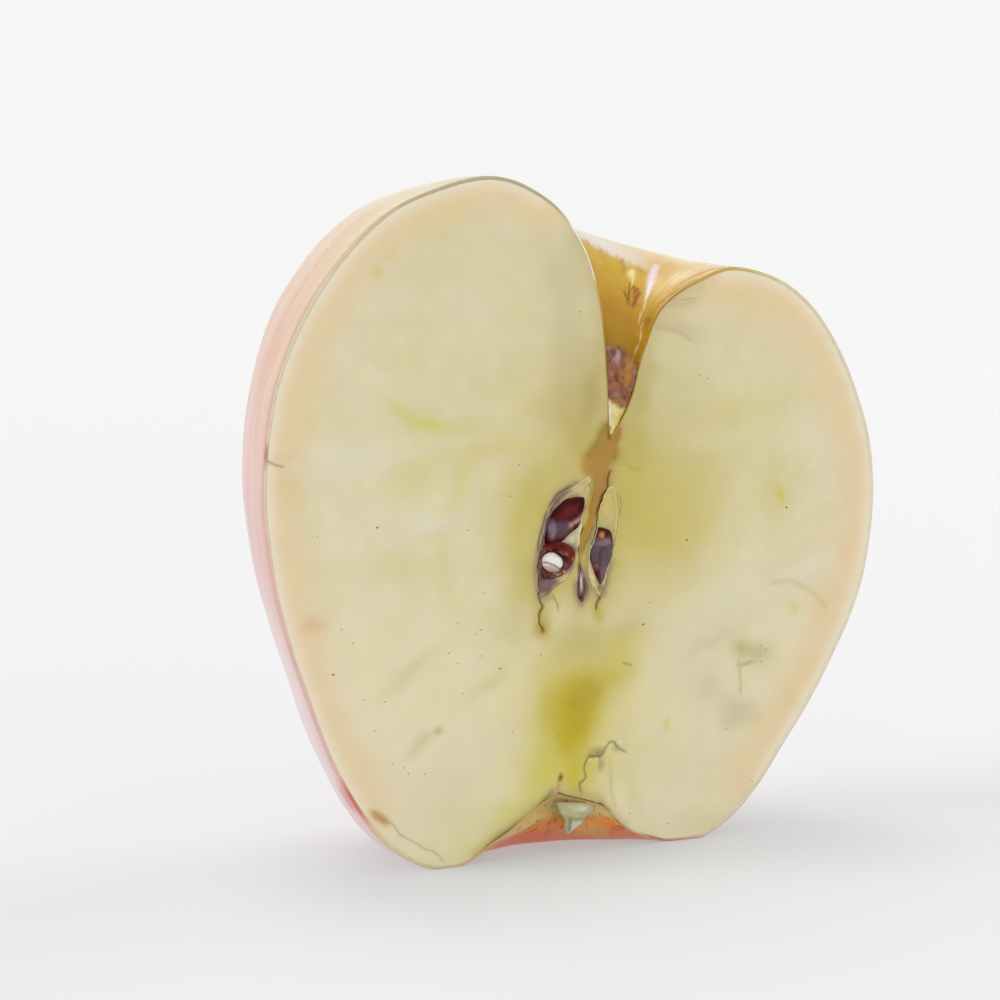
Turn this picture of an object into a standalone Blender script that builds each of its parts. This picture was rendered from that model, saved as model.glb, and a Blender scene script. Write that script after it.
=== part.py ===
"""Half of a dessert apple, cut from the stem to the calyx and standing on its base.

The cut face looks along -Y, the skin is behind it and the stem is at the top. The origin is
under the middle of the half, at the height of the surface that it stands on. Sizes are in
millimetres, measured from the foot of the core on the cut face, and become metres in the mesh.
"""

import math

import bmesh
import bpy
from mathutils import Matrix, Vector

MM = 0.001

# Three meridians of the skin, from the calyx round the outside to the foot of the stem hollow.
# Each row is one station: x and z on the left edge of the cut, x and z on its right edge, and y
# and z at the back. The left lobe is the taller and the wider one, as the fruit grew lopsided.
MERIDIANS = (
    ((-4.4, 6.1), (-4.4, 6.1), (0.0, 6.1)),  # calyx
    ((-7.3, 4.9), (0.2, 4.6), (2.2, 4.7)),
    ((-11.4, 2.2), (4.0, 1.6), (3.6, 1.8)),  # wall of the calyx basin
    ((-17.2, -0.2), (11.2, -0.3), (9.5, -0.9)),  # foot
    ((-23.4, 2.4), (17.8, 2.8), (18.8, 0.6)),
    ((-28.8, 9.2), (23.6, 9.4), (23.8, 8.2)),
    ((-33.4, 20.0), (29.6, 17.9), (27.8, 19.0)),
    ((-36.1, 29.9), (33.7, 26.3), (31.5, 28.6)),
    ((-36.8, 38.8), (35.15, 35.9), (33.4, 37.6)),  # belly
    ((-35.4, 47.6), (33.8, 43.9), (33.3, 47.0)),
    ((-31.3, 56.0), (29.9, 51.9), (31.2, 56.3)),
    ((-23.8, 63.9), (24.2, 57.5), (25.5, 63.3)),
    ((-13.2, 67.75), (17.0, 59.55), (16.6, 65.0)),  # shoulder
    ((-6.0, 65.9), (11.8, 58.0), (9.6, 63.6)),
    ((-1.6, 60.9), (7.6, 55.2), (5.6, 59.3)),  # wall of the stem hollow
    ((0.4, 54.9), (5.3, 50.6), (3.2, 53.8)),
    ((1.05, 48.4), (3.9, 46.0), (1.9, 47.8)),
    ((1.45, 41.8), (1.45, 41.8), (0.0, 41.8)),  # foot of the stem
)
ROWS_PER_STATION = 4
COLUMNS = 40
RIB_DEPTH = 0.010  # the five faint ribs of the fruit, as a share of its radius
RIB_COUNT = 5
RIB_TURN = math.radians(25)

# The seed chambers that the knife opened: the two ends of each on the cut face, its width
# and its depth. Their middles lie a little behind the cut face.
CHAMBERS = {
    "chamber_left": ((-6.1, 25.4), (-2.0, 37.9), 4.8, 4.6),
    "chamber_right": ((0.0, 25.9), (2.0, 37.2), 3.1, 4.2),
    "chamber_middle": ((-1.65, 25.2), (-1.8, 29.8), 1.3, 2.4),
}
# The pips: the pointed end and the blunt end, the width, the thickness and the depth of the
# middle behind the cut face. The knife went through the two whose depth is less than half
# their thickness.
PIPS = {
    "pip_left_upper": ((-4.9, 32.3), (-1.9, 35.6), 2.7, 2.2, 1.3),
    "pip_left_lower": ((-2.9, 29.3), (-6.4, 29.9), 2.9, 2.4, 0.6),
    "pip_right": ((0.3, 26.6), (1.5, 32.7), 1.8, 2.0, 1.15),
    "pip_middle": ((-1.75, 29.1), (-1.6, 25.9), 0.5, 1.0, 0.7),
}
CHAMBER_SET_BACK = 0.3
PIP_TAPER = 0.42  # how much narrower the pointed half of a pip is
KNIFE_GAP = 0.1  # the cut pips and stem lie this far behind the cut face

# The stump of the stem, which the knife split along its length.
STEM_FOOT = (1.85, 43.6)
STEM_TOP = (3.05, 51.2)
STEM_FOOT_RADIUS = 0.25
STEM_TOP_RADIUS = 1.45

# The dried sepals under the calyx: the middle of the tuft, its radii and its height.
SEPALS_MIDDLE = (-2.6, 1.25, 2.75)
SEPALS_TOP_RADIUS = 1.9
SEPALS_TIP_RADIUS = 0.45
SEPALS_HEIGHT = 2.0
SEPALS_FLATNESS = 0.5
SEPAL_COUNT = 5


def spline(stations, place):
    """The point at place, from 0 to 1, on a Catmull-Rom curve through the stations."""
    spans = len(stations) - 1
    span = min(int(place * spans), spans - 1)
    t = place * spans - span
    rows = [Vector(stations[min(max(span + step, 0), spans)]) for step in (-1, 0, 1, 2)]
    before, start, end, after = rows
    return 0.5 * (
        2 * start
        + t * (end - before)
        + t * t * (2 * before - 5 * start + 4 * end - after)
        + t**3 * (3 * start - 3 * end + after - before)
    )


def skin_point(place, turn):
    """The skin at place along the meridians and at turn, from 0 on the right to 1 on the left."""
    left, right, back = (
        spline([row[side] for row in MERIDIANS], place) for side in range(3)
    )
    reach = (right.x - left.x) / 2
    middle_x = (right.x + left.x) / 2
    angle = math.pi * turn
    height = (right.y * (1 + math.cos(angle)) + left.y * (1 - math.cos(angle))) / 2
    height += (back.y - (left.y + right.y) / 2) * math.sin(angle)
    if reach < 1e-6:
        return Vector((middle_x, 0, height))
    # Each level is an arc of a circle through both edges of the cut and the back.
    radius = (reach**2 + back.x**2) / (2 * back.x)
    start = math.asin(1 - back.x / radius)
    sweep = start + (math.pi - 2 * start) * turn
    rib = 1 + RIB_DEPTH * math.cos(RIB_COUNT * angle + RIB_TURN) * math.sin(angle) ** 2
    depth = radius * (math.sin(sweep) - math.sin(start)) * rib
    return Vector((middle_x + radius * math.cos(sweep) * rib, depth, height))


def add_object(bm, name, collection, origin=None, material=None):
    """Makes an object of the mesh, in metres and with its faces pointing out."""
    bmesh.ops.recalc_face_normals(bm, faces=bm.faces)
    bmesh.ops.scale(bm, vec=(MM, MM, MM), verts=bm.verts)
    mesh = bpy.data.meshes.new(name)
    bm.to_mesh(mesh)
    bm.free()
    obj = bpy.data.objects.new(name, mesh)
    obj.parent = origin
    collection.objects.link(obj)
    if material:
        mesh.materials.append(material)
        mesh.shade_smooth()
        mesh.set_sharp_from_angle(angle=math.radians(40))
    return obj


def add_material(name, colour, roughness):
    material = bpy.data.materials.new(name)
    material.use_nodes = True
    shader = material.node_tree.nodes["Principled BSDF"]
    shader.inputs["Base Color"].default_value = (*colour, 1)
    shader.inputs["Roughness"].default_value = roughness
    shader.inputs["Metallic"].default_value = 0
    return material


def body():
    """The flesh in its skin: a flat grid is bent into the skin, then the cut face closes it."""
    rows = ROWS_PER_STATION * (len(MERIDIANS) - 1)
    bm = bmesh.new()
    bmesh.ops.create_grid(bm, x_segments=rows, y_segments=COLUMNS, size=0.5)
    for vert in bm.verts:
        vert.co = skin_point(vert.co.x + 0.5, vert.co.y + 0.5)
    bmesh.ops.remove_doubles(bm, verts=bm.verts, dist=1e-4)
    bmesh.ops.edgeloop_fill(bm, edges=[edge for edge in bm.edges if edge.is_boundary])
    return bm


def ovoid(low, high, width, thickness, taper, segments, rings):
    """A closed ovoid between two points of the cut face, narrower towards low by taper."""
    bm = bmesh.new()
    bmesh.ops.create_uvsphere(bm, u_segments=segments, v_segments=rings, radius=0.5)
    low, high = (Vector((x, 0, z)) for x, z in (low, high))
    for vert in bm.verts:
        share = 1 + taper * vert.co.z
        vert.co.x *= width * share
        vert.co.y *= thickness * share
    axis = high - low
    bmesh.ops.scale(bm, vec=(1, 1, axis.length), verts=bm.verts)
    turn = Matrix.Rotation(math.atan2(axis.x, axis.z), 4, "Y")
    bmesh.ops.transform(bm, matrix=turn, verts=bm.verts)
    bmesh.ops.translate(bm, vec=(low + high) / 2, verts=bm.verts)
    return bm


def slice_front(bm):
    """Takes off what the knife cut away, just behind the cut face."""
    whole = bm.verts[:] + bm.edges[:] + bm.faces[:]
    plane = {"plane_co": (0, KNIFE_GAP, 0), "plane_no": (0, -1, 0)}
    bmesh.ops.bisect_plane(bm, geom=whole, clear_outer=True, **plane)
    edges = [edge for edge in bm.edges if edge.is_boundary]
    if edges:
        bmesh.ops.edgeloop_fill(bm, edges=edges)


def pip(point, blunt, width, thickness, depth):
    """A pip on its side, cut flat where it reaches the knife."""
    bm = ovoid(point, blunt, width, thickness, PIP_TAPER, segments=16, rings=10)
    bmesh.ops.translate(bm, vec=(0, depth, 0), verts=bm.verts)
    slice_front(bm)
    return bm


def stem():
    """The stump of the stem: a tapered stick, split by the knife."""
    low, high = (Vector((x, 0, z)) for x, z in (STEM_FOOT, STEM_TOP))
    axis = high - low
    bm = bmesh.new()
    ends = {"radius1": STEM_FOOT_RADIUS, "radius2": STEM_TOP_RADIUS, "depth": axis.length}
    bmesh.ops.create_cone(bm, cap_ends=True, segments=20, **ends)
    turn = Matrix.Rotation(math.atan2(axis.x, axis.z), 4, "Y")
    bmesh.ops.transform(bm, matrix=turn, verts=bm.verts)
    bmesh.ops.translate(bm, vec=(low + high) / 2, verts=bm.verts)
    slice_front(bm)
    return bm


def sepals():
    """The tuft of dried sepals, as a flat cone that points down, with a fold for each sepal."""
    bm = bmesh.new()
    ends = {"radius1": SEPALS_TIP_RADIUS, "radius2": SEPALS_TOP_RADIUS, "depth": SEPALS_HEIGHT}
    bmesh.ops.create_cone(bm, cap_ends=True, segments=2 * SEPAL_COUNT, **ends)
    for vert in bm.verts:
        fold = round(SEPAL_COUNT * math.atan2(vert.co.y, vert.co.x) / math.pi) % 2
        vert.co.xy *= 0.7 if fold else 1
    bmesh.ops.scale(bm, vec=(1, SEPALS_FLATNESS, 1), verts=bm.verts)
    bmesh.ops.translate(bm, vec=SEPALS_MIDDLE, verts=bm.verts)
    return bm


def base_cutter():
    """What the flat spot that the half stands on takes off the foot: all that is below it."""
    bm = bmesh.new()
    bmesh.ops.create_cube(bm, size=1)
    bmesh.ops.scale(bm, vec=(90, 90, 10), verts=bm.verts)
    bmesh.ops.translate(bm, vec=(0, 17, -5), verts=bm.verts)
    return bm


def cut(obj, bm, name, collection, origin):
    """Takes the closed mesh away from the object with a Boolean."""
    cutter = add_object(bm, name, collection, origin)
    cutter.hide_render = True
    cutter.display_type = "WIRE"
    difference = obj.modifiers.new(name, "BOOLEAN")
    difference.operation = "DIFFERENCE"
    difference.solver = "EXACT"
    difference.object = cutter


for old in list(bpy.data.objects):
    bpy.data.objects.remove(old)
apple = bpy.data.collections.new("apple_half")
cutters = bpy.data.collections.new("apple_half_cutters")
for group in (apple, cutters):
    bpy.context.scene.collection.children.link(group)

flesh_colour = add_material("flesh", (0.72, 0.66, 0.42), 0.45)
pip_colour = add_material("pip_coat", (0.10, 0.03, 0.03), 0.30)
stem_colour = add_material("stem_wood", (0.30, 0.14, 0.09), 0.75)
sepal_colour = add_material("dry_sepals", (0.42, 0.42, 0.30), 0.80)

# Everything hangs on one empty, which puts the middle of the half over the origin.
origin = bpy.data.objects.new("apple_half_origin", None)
apple.objects.link(origin)
flesh = add_object(body(), "apple_half", apple, origin, flesh_colour)
corners = [Vector(corner) for corner in flesh.bound_box]
middle = (corners[0] + corners[6]) / 2
origin.location = (-middle.x, -middle.y, 0)

cut(flesh, base_cutter(), "base_cutter", cutters, origin)
for name, (low, high, width, depth) in CHAMBERS.items():
    hollow = ovoid(low, high, width, 2 * depth, 0, segments=24, rings=16)
    bmesh.ops.translate(hollow, vec=(0, CHAMBER_SET_BACK, 0), verts=hollow.verts)
    cut(flesh, hollow, name, cutters, origin)
for name, sizes in PIPS.items():
    add_object(pip(*sizes), name, apple, origin, pip_colour)
add_object(stem(), "stem_stub", apple, origin, stem_colour)
add_object(sepals(), "calyx_sepals", apple, origin, sepal_colour)
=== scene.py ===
"""Half of a dessert apple, cut from stem to calyx: its peel, cut flesh, open core and sepals.

Sizes are in millimetres, measured from the foot of the core on the cut face, which looks along
-Y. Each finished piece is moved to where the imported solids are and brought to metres.
"""

import math

import bmesh
import bpy
import numpy as np
from mathutils import Matrix, Vector, noise


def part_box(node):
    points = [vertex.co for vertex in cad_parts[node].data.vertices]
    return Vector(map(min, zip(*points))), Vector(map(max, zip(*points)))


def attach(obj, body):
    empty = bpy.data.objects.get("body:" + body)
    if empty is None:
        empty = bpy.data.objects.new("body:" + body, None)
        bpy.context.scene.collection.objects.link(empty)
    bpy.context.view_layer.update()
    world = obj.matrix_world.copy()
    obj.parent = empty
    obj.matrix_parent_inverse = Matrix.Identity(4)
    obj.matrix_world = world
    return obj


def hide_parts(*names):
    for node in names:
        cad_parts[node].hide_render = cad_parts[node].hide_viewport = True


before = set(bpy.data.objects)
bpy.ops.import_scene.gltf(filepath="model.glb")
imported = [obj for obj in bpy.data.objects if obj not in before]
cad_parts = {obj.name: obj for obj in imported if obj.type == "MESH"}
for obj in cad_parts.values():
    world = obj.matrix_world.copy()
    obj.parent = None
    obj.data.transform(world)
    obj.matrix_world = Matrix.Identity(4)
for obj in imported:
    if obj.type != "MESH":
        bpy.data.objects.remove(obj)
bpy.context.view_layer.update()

# ------------------------------------------------------------------------------------------
# Peel. The waxy skin of the apple, a third of a millimetre thick, wrapped round the half from
# the calyx over the shoulder and down into the stem hollow. It grew on the tree, blushed pink
# where the sun reached it and stayed ochre in the hollow, and the knife left its edge bare.
# ------------------------------------------------------------------------------------------

MM = 0.001
# Three meridians from the calyx to the foot of the stem: x and z on the left edge of the cut,
# x and z on its right edge, y and z at the back. The left lobe is the taller and the wider one.
MERIDIANS = (
    ((-4.4, 6.1), (-4.4, 6.1), (0.0, 6.1)),  # calyx
    ((-7.3, 4.9), (0.2, 4.6), (2.2, 4.7)),
    ((-11.4, 2.2), (4.0, 1.6), (3.6, 1.8)),  # wall of the calyx basin
    ((-17.2, -0.2), (11.2, -0.3), (9.5, -0.9)),  # foot
    ((-23.4, 2.4), (17.8, 2.8), (18.8, 0.6)),
    ((-28.8, 9.2), (23.6, 9.4), (23.8, 8.2)),
    ((-33.4, 20.0), (29.6, 17.9), (27.8, 19.0)),
    ((-36.1, 29.9), (33.7, 26.3), (31.5, 28.6)),
    ((-36.8, 38.8), (35.15, 35.9), (33.4, 37.6)),  # belly
    ((-35.4, 47.6), (33.8, 43.9), (33.3, 47.0)),
    ((-31.3, 56.0), (29.9, 51.9), (31.2, 56.3)),
    ((-23.8, 63.9), (24.2, 57.5), (25.5, 63.3)),
    ((-13.2, 67.75), (17.0, 59.55), (16.6, 65.0)),  # shoulder
    ((-6.0, 65.9), (11.8, 58.0), (9.6, 63.6)),
    ((-1.6, 60.9), (7.6, 55.2), (5.6, 59.3)),  # wall of the stem hollow
    ((0.4, 54.9), (5.3, 50.6), (3.2, 53.8)),
    ((1.05, 48.4), (3.9, 46.0), (1.9, 47.8)),
    ((1.45, 41.8), (1.45, 41.8), (0.0, 41.8)),  # foot of the stem
)
RIB_DEPTH = 0.010  # the five faint ribs of the fruit, as a share of its radius
RIB_COUNT = 5
RIB_TURN = math.radians(25)
HEART = Vector((0, 0, 33))  # the middle of the fruit
# How thick the skin is from the calyx to the stem: thin in the basin and in the hollow.
PEEL_THICKNESS = ((0.00, 0.12), (0.09, 0.14), (0.20, 0.35), (0.74, 0.35), (0.82, 0.16), (1.00, 0.10))
PEEL_LUMPS = 0.10  # how high the soft lumps of the skin stand, and how far apart they are
LUMP_SIZE = 5
PEEL_ROWS = 300
PEEL_COLUMNS = 130
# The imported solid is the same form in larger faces, four for each row of the meridians.
SOLID_ROWS = 4 * (len(MERIDIANS) - 1)
SOLID_COLUMNS = 40


def spline(stations, place):
    """The point at place, from 0 to 1, on a Catmull-Rom curve through the stations."""
    spans = len(stations) - 1
    span = min(int(place * spans), spans - 1)
    t = place * spans - span
    rows = [Vector(stations[min(max(span + step, 0), spans)]) for step in (-1, 0, 1, 2)]
    before, start, end, after = rows
    return 0.5 * (
        2 * start
        + t * (end - before)
        + t * t * (2 * before - 5 * start + 4 * end - after)
        + t**3 * (3 * start - 3 * end + after - before)
    )


def peel_point(place, turn):
    """The outside of the peel at place along the meridians, turn 0 on the right and 1 on the left."""
    left, right, back = (
        spline([row[side] for row in MERIDIANS], place) for side in range(3)
    )
    reach = (right.x - left.x) / 2
    middle_x = (right.x + left.x) / 2
    angle = math.pi * turn
    height = (right.y * (1 + math.cos(angle)) + left.y * (1 - math.cos(angle))) / 2
    height += (back.y - (left.y + right.y) / 2) * math.sin(angle)
    if reach < 1e-6:
        return Vector((middle_x, 0, height))
    # Each level is an arc of a circle through both edges of the cut and the back.
    radius = (reach**2 + back.x**2) / (2 * back.x)
    start = math.asin(1 - back.x / radius)
    sweep = start + (math.pi - 2 * start) * turn
    rib = 1 + RIB_DEPTH * math.cos(RIB_COUNT * angle + RIB_TURN) * math.sin(angle) ** 2
    depth = radius * (math.sin(sweep) - math.sin(start)) * rib
    # The half stands on a small flat spot, pressed into the foot.
    return Vector((middle_x + radius * math.cos(sweep) * rib, depth, max(height, 0)))


def peel_sheet(rows, columns, lumps=0.0):
    """The outside of the peel as an open sheet, with turn and place kept as its UV map."""
    bm = bmesh.new()
    uv = bm.loops.layers.uv.new("meridians")
    bmesh.ops.create_grid(bm, x_segments=rows, y_segments=columns, size=0.5)
    for face in bm.faces:
        for loop in face.loops:
            loop[uv].uv = (loop.vert.co.y + 0.5, loop.vert.co.x + 0.5)
    for vert in bm.verts:
        vert.co = peel_point(vert.co.x + 0.5, vert.co.y + 0.5)
    bmesh.ops.remove_doubles(bm, verts=bm.verts, dist=1e-4)
    bmesh.ops.recalc_face_normals(bm, faces=bm.faces)
    # An open sheet has no inside, so its faces are turned away from the core by hand.
    if sum(face.normal.dot(face.calc_center_median() - HEART) for face in bm.faces) < 0:
        bmesh.ops.reverse_faces(bm, faces=bm.faces)
    bm.normal_update()
    # Old fruit is never quite smooth. The cut edge stays on the knife's plane.
    for vert in bm.verts:
        vert.co += lumps * noise.noise(vert.co / LUMP_SIZE) * vert.normal
        if vert.is_boundary or vert.co.y < 0:
            vert.co.y = 0
    return bm


def peel_depths(bm):
    """How thick the peel is at each vertex of its sheet."""
    uv = bm.loops.layers.uv["meridians"]
    return {
        loop.vert: np.interp(loop[uv].uv.y, *zip(*PEEL_THICKNESS))
        for face in bm.faces
        for loop in face.loops
    }


def thicken(bm, depths):
    """Gives an open skin a second face behind its first, and returns the faces of its edge."""
    bm.normal_update()
    shift = {tuple(vert.co): vert.normal * depths[vert] for vert in bm.verts}
    made = bmesh.ops.extrude_face_region(bm, geom=bm.faces[:], use_keep_orig=True)["geom"]
    behind = {item for item in made if isinstance(item, bmesh.types.BMVert)}
    for vert in behind:
        vert.co -= shift[tuple(vert.co)]
    bmesh.ops.recalc_face_normals(bm, faces=bm.faces)
    return [face for face in bm.faces if 0 < len(behind.intersection(face.verts)) < len(face.verts)]


def to_frame(bm):
    """Moves a mesh from the core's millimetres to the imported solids' metres."""
    bmesh.ops.translate(bm, vec=CORE_TO_FRAME, verts=bm.verts)
    bmesh.ops.scale(bm, vec=(MM, MM, MM), verts=bm.verts)


def add_piece(bm, name, *materials):
    """Makes a finished piece of the mesh, riding on the apple."""
    to_frame(bm)
    mesh = bpy.data.meshes.new(name)
    bm.to_mesh(mesh)
    bm.free()
    for material in materials:
        mesh.materials.append(material)
    mesh.shade_smooth()
    piece = bpy.data.objects.new(name, mesh)
    bpy.context.scene.collection.objects.link(piece)
    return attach(piece, "root")


def colour(hex_code):
    """An sRGB hex colour as linear red, green and blue, and alpha from two more digits or 1."""
    parts = [int(hex_code[start : start + 2], 16) / 255 for start in range(0, len(hex_code), 2)]
    linear = [c / 12.92 if c <= 0.04045 else ((c + 0.055) / 1.055) ** 2.4 for c in parts[:3]]
    return (*linear, *(parts[3:] or [1.0]))


def new_material(name, **settings):
    """A material and its shader, with the sockets that are the same all over the piece set."""
    material = bpy.data.materials.new(name)
    material.use_nodes = True
    shader = material.node_tree.nodes["Principled BSDF"]
    for key, value in settings.items():
        shader.inputs[key.replace("_", " ")].default_value = value
    return material, shader


def node(material, kind, links=None, **settings):
    """Adds a node. Settings are its properties or sockets; links feed its sockets by name or number."""
    tree = material.node_tree
    made = tree.nodes.new("ShaderNode" + kind)
    for key, value in settings.items():
        if hasattr(made, key):
            setattr(made, key, value)
        else:
            made.inputs[key.replace("_", " ")].default_value = value
    for socket, source in (links or {}).items():
        tree.links.new(source, made.inputs[socket])
    return made


# The same form in the solid's own faces shows where the core is in the frame.
outline = peel_sheet(SOLID_ROWS, SOLID_COLUMNS)
outline_x = [vert.co.x for vert in outline.verts]
outline.free()
body_low, body_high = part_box("apple_half")
CORE_TO_FRAME = Vector(
    (
        (body_low.x + body_high.x) / 2 / MM - (min(outline_x) + max(outline_x)) / 2,
        body_low.y / MM,
        0,
    )
)


def core_places(piece):
    """The x, y and z of a piece's vertices in the core's millimetres."""
    places = np.empty(3 * len(piece.data.vertices))
    piece.data.vertices.foreach_get("co", places)
    return (places.reshape(-1, 3) / MM - np.array(CORE_TO_FRAME)).T


def peel_places(piece):
    """The turn and the place along the meridians of each vertex of the peel."""
    mesh = piece.data
    corners = np.empty(len(mesh.loops), np.int32)
    mesh.loops.foreach_get("vertex_index", corners)
    uv = np.empty(2 * len(mesh.loops), np.float32)
    mesh.uv_layers["meridians"].data.foreach_get("uv", uv)
    places = np.zeros((len(mesh.vertices), 2))
    places[corners] = uv.reshape(-1, 2)
    return places.T


def ramp(where, stops):
    """The colours at each point of a row of (place, hex) stops."""
    places = [place for place, _ in stops]
    shades = np.array([colour(shade) for _, shade in stops])
    return np.stack([np.interp(where, places, shades[:, part]) for part in range(4)], axis=1)


def tint(layer, shade, weight):
    """Mixes a colour into a layer of colours, by each point's weight."""
    layer += (np.array(colour(shade)) - layer) * weight[:, None]


def store_tint(piece, layer, name="tint"):
    """Keeps the colours on the piece's vertices, for its material to read."""
    kept = piece.data.attributes.new(name, "FLOAT_COLOR", "POINT")
    kept.data.foreach_set("color", layer.astype(np.float32).ravel())


def store_amount(piece, amounts, name):
    """Keeps one number on each of the piece's vertices, for its material to read."""
    kept = piece.data.attributes.new(name, "FLOAT", "POINT")
    kept.data.foreach_set("value", amounts.astype(np.float32))


def oval(x, z, middle_x, middle_z, half_width, half_height, lean, hard=1):
    """How near each point is to an oval: 1 in its middle, 0 well outside it. Hard gives it an edge."""
    lean = math.radians(lean)
    across = (x - middle_x) * math.cos(lean) + (z - middle_z) * math.sin(lean)
    up = (z - middle_z) * math.cos(lean) - (x - middle_x) * math.sin(lean)
    return np.exp(-(((across / half_width) ** 2 + (up / half_height) ** 2) ** hard))


def line_distance(x, z, points):
    """Distance from each x and z to the nearest of the straight runs between the points."""
    nearest = np.full(len(x), 1e9)
    for (start_x, start_z), (end_x, end_z) in zip(points, points[1:]):
        run_x, run_z = end_x - start_x, end_z - start_z
        share = (x - start_x) * run_x + (z - start_z) * run_z
        share = np.clip(share / (run_x**2 + run_z**2), 0, 1)
        gap = np.hypot(x - start_x - share * run_x, z - start_z - share * run_z)
        nearest = np.minimum(nearest, gap)
    return nearest


def fade(distance, width, hard=2):
    """1 where the distance is nothing, and next to nothing at twice the width. Hard gives it an edge."""
    return np.exp(-((distance / width) ** hard))


def ripple(x, z, size, seed):
    """Smooth noise, from -1 to 1, with bumps of about the given size."""
    return np.array([noise.noise(Vector((a / size, seed, b / size))) for a, b in zip(x, z)])


# The peel's own colour from the calyx to the stem. The last two digits are how streaky it is.
PEEL_GROUND = (
    (0.00, "c8a46800"),
    (0.05, "dcb47008"),
    (0.10, "ec964810"),
    (0.125, "ee884410"),
    (0.15, "f28a5210"),
    (0.17, "ee967c28"),
    (0.20, "e4a09468"),
    (0.25, "e6aea680"),
    (0.35, "eac0b880"),
    (0.47, "eec6ba80"),
    (0.55, "e4c4a870"),
    (0.63, "dccaa250"),
    (0.71, "dccca030"),
    (0.76, "d0b06020"),
    (0.80, "c8a83220"),
    (0.86, "bc901820"),
    (0.93, "ac842020"),
    (1.00, "9a762400"),
)
# Marks on it: turn, place, half turn, half place, lean, colour, strength and how hard its edge.
PEEL_MARKS = (
    (0.50, 0.45, 0.34, 0.22, 0, "cf7068c0", 0.70, 1),  # the sunny side, away from the cut
    (0.30, 0.30, 0.20, 0.12, 0, "c45a54d0", 0.45, 1),
    (0.12, 0.55, 0.10, 0.14, 0, "dfae7e80", 0.60, 1),
    (0.72, 0.62, 0.12, 0.08, 0, "e4bc86a0", 0.50, 1),
    (0.00, 0.42, 0.030, 0.30, 0, "efe3c800", 0.90, 3),  # bleached beside the cut
    # Paler pink beside the cut low on the left: partly the skin's own paler colour, partly a painted sheen
    # where the skin turns away at the edge.
    (0.95, 0.280, 0.14, 0.110, 0, "f2d9d920", 0.80, 2),
    (0.96, 0.200, 0.10, 0.040, 0, "ecdcd020", 0.70, 2),
    (0.985, 0.281, 0.020, 0.012, 0, "d9605800", 0.90, 1),
    (0.62, 0.140, 0.22, 0.018, 0, "ee662c00", 0.85, 2),
    (0.25, 0.115, 0.12, 0.024, 0, "ecb05800", 0.75, 2),  # tan beside the sepals
    (0.05, 0.118, 0.05, 0.014, 0, "ec744000", 0.80, 1),
    (0.235, 0.785, 0.016, 0.007, 0, "b0702c00", 0.80, 1),  # russet where the stalk rubbed
    (0.232, 0.822, 0.020, 0.006, 0, "a8582000", 0.80, 1),
    (0.96, 0.690, 0.07, 0.03, 0, "c6b89200", 0.70, 1),
    (0.14, 0.766, 0.09, 0.024, 0, "ccac6400", 0.85, 2),
    (0.16, 0.715, 0.05, 0.012, 0, "dfe0b800", 0.60, 1),
    (0.08, 0.765, 0.05, 0.022, 0, "e0c69800", 0.80, 2),
    (0.275, 0.805, 0.022, 0.010, 0, "eee2a400", 0.90, 2),
    (0.32, 0.790, 0.020, 0.010, 0, "b0702800", 0.60, 1),
    (0.075, 0.846, 0.022, 0.008, 0, "9a6a4000", 0.85, 2),
    (0.05, 0.815, 0.040, 0.010, 0, "d2a86c00", 0.70, 1),
)
# Lines on it: places along them as turn and place, half width as turn, colour and strength.
PEEL_LINES = (
    # The first seven lines are a painted highlight: a glossy lilac-white reflection, broken into bits
    # further down the hollow.
    (((0.190, 0.774), (0.177, 0.792), (0.167, 0.806)), 0.015, "e2d4dc00", 0.95),
    (((0.170, 0.800), (0.160, 0.822)), 0.008, "f2e8ea00", 0.95),
    (((0.153, 0.833), (0.150, 0.839)), 0.006, "f2e6d000", 0.85),
    (((0.158, 0.850), (0.164, 0.854)), 0.005, "f2e6d000", 0.75),
    (((0.125, 0.855), (0.098, 0.872)), 0.006, "e8d8b000", 0.80),
    (((0.105, 0.879), (0.140, 0.889)), 0.005, "f2e6d000", 0.70),
    (((0.146, 0.897), (0.150, 0.900)), 0.005, "f2e6d000", 0.85),
    (((0.300, 0.832), (0.270, 0.839)), 0.0035, "8a3c1400", 0.85),
    (((0.262, 0.821), (0.235, 0.826)), 0.0035, "8a3c1400", 0.85),
    (((0.242, 0.834), (0.212, 0.829)), 0.0040, "94421800", 0.85),
    (((0.278, 0.825), (0.262, 0.842)), 0.0030, "7a341400", 0.80),
    (((0.228, 0.820), (0.203, 0.827)), 0.0040, "94421800", 0.85),
    (((0.250, 0.841), (0.225, 0.838)), 0.0030, "8a3c1400", 0.75),
    (((0.060, 0.800), (0.045, 0.775), (0.040, 0.750), (0.012, 0.715)), 0.008, "b98a3400", 0.85),
    (((0.060, 0.830), (0.020, 0.800), (0.010, 0.770)), 0.006, "8a622c00", 0.80),
    (((0.030, 0.846), (0.110, 0.838)), 0.006, "8f6a3800", 0.70),
)
# Where the tan of the calyx basin ends: turn and place.
TAN_REACH = ((0, 0.082), (0.1, 0.088), (0.3, 0.085), (0.47, 0.087), (0.66, 0.102), (0.78, 0.128))
TAN_REACH += ((1, 0.135),)
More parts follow.
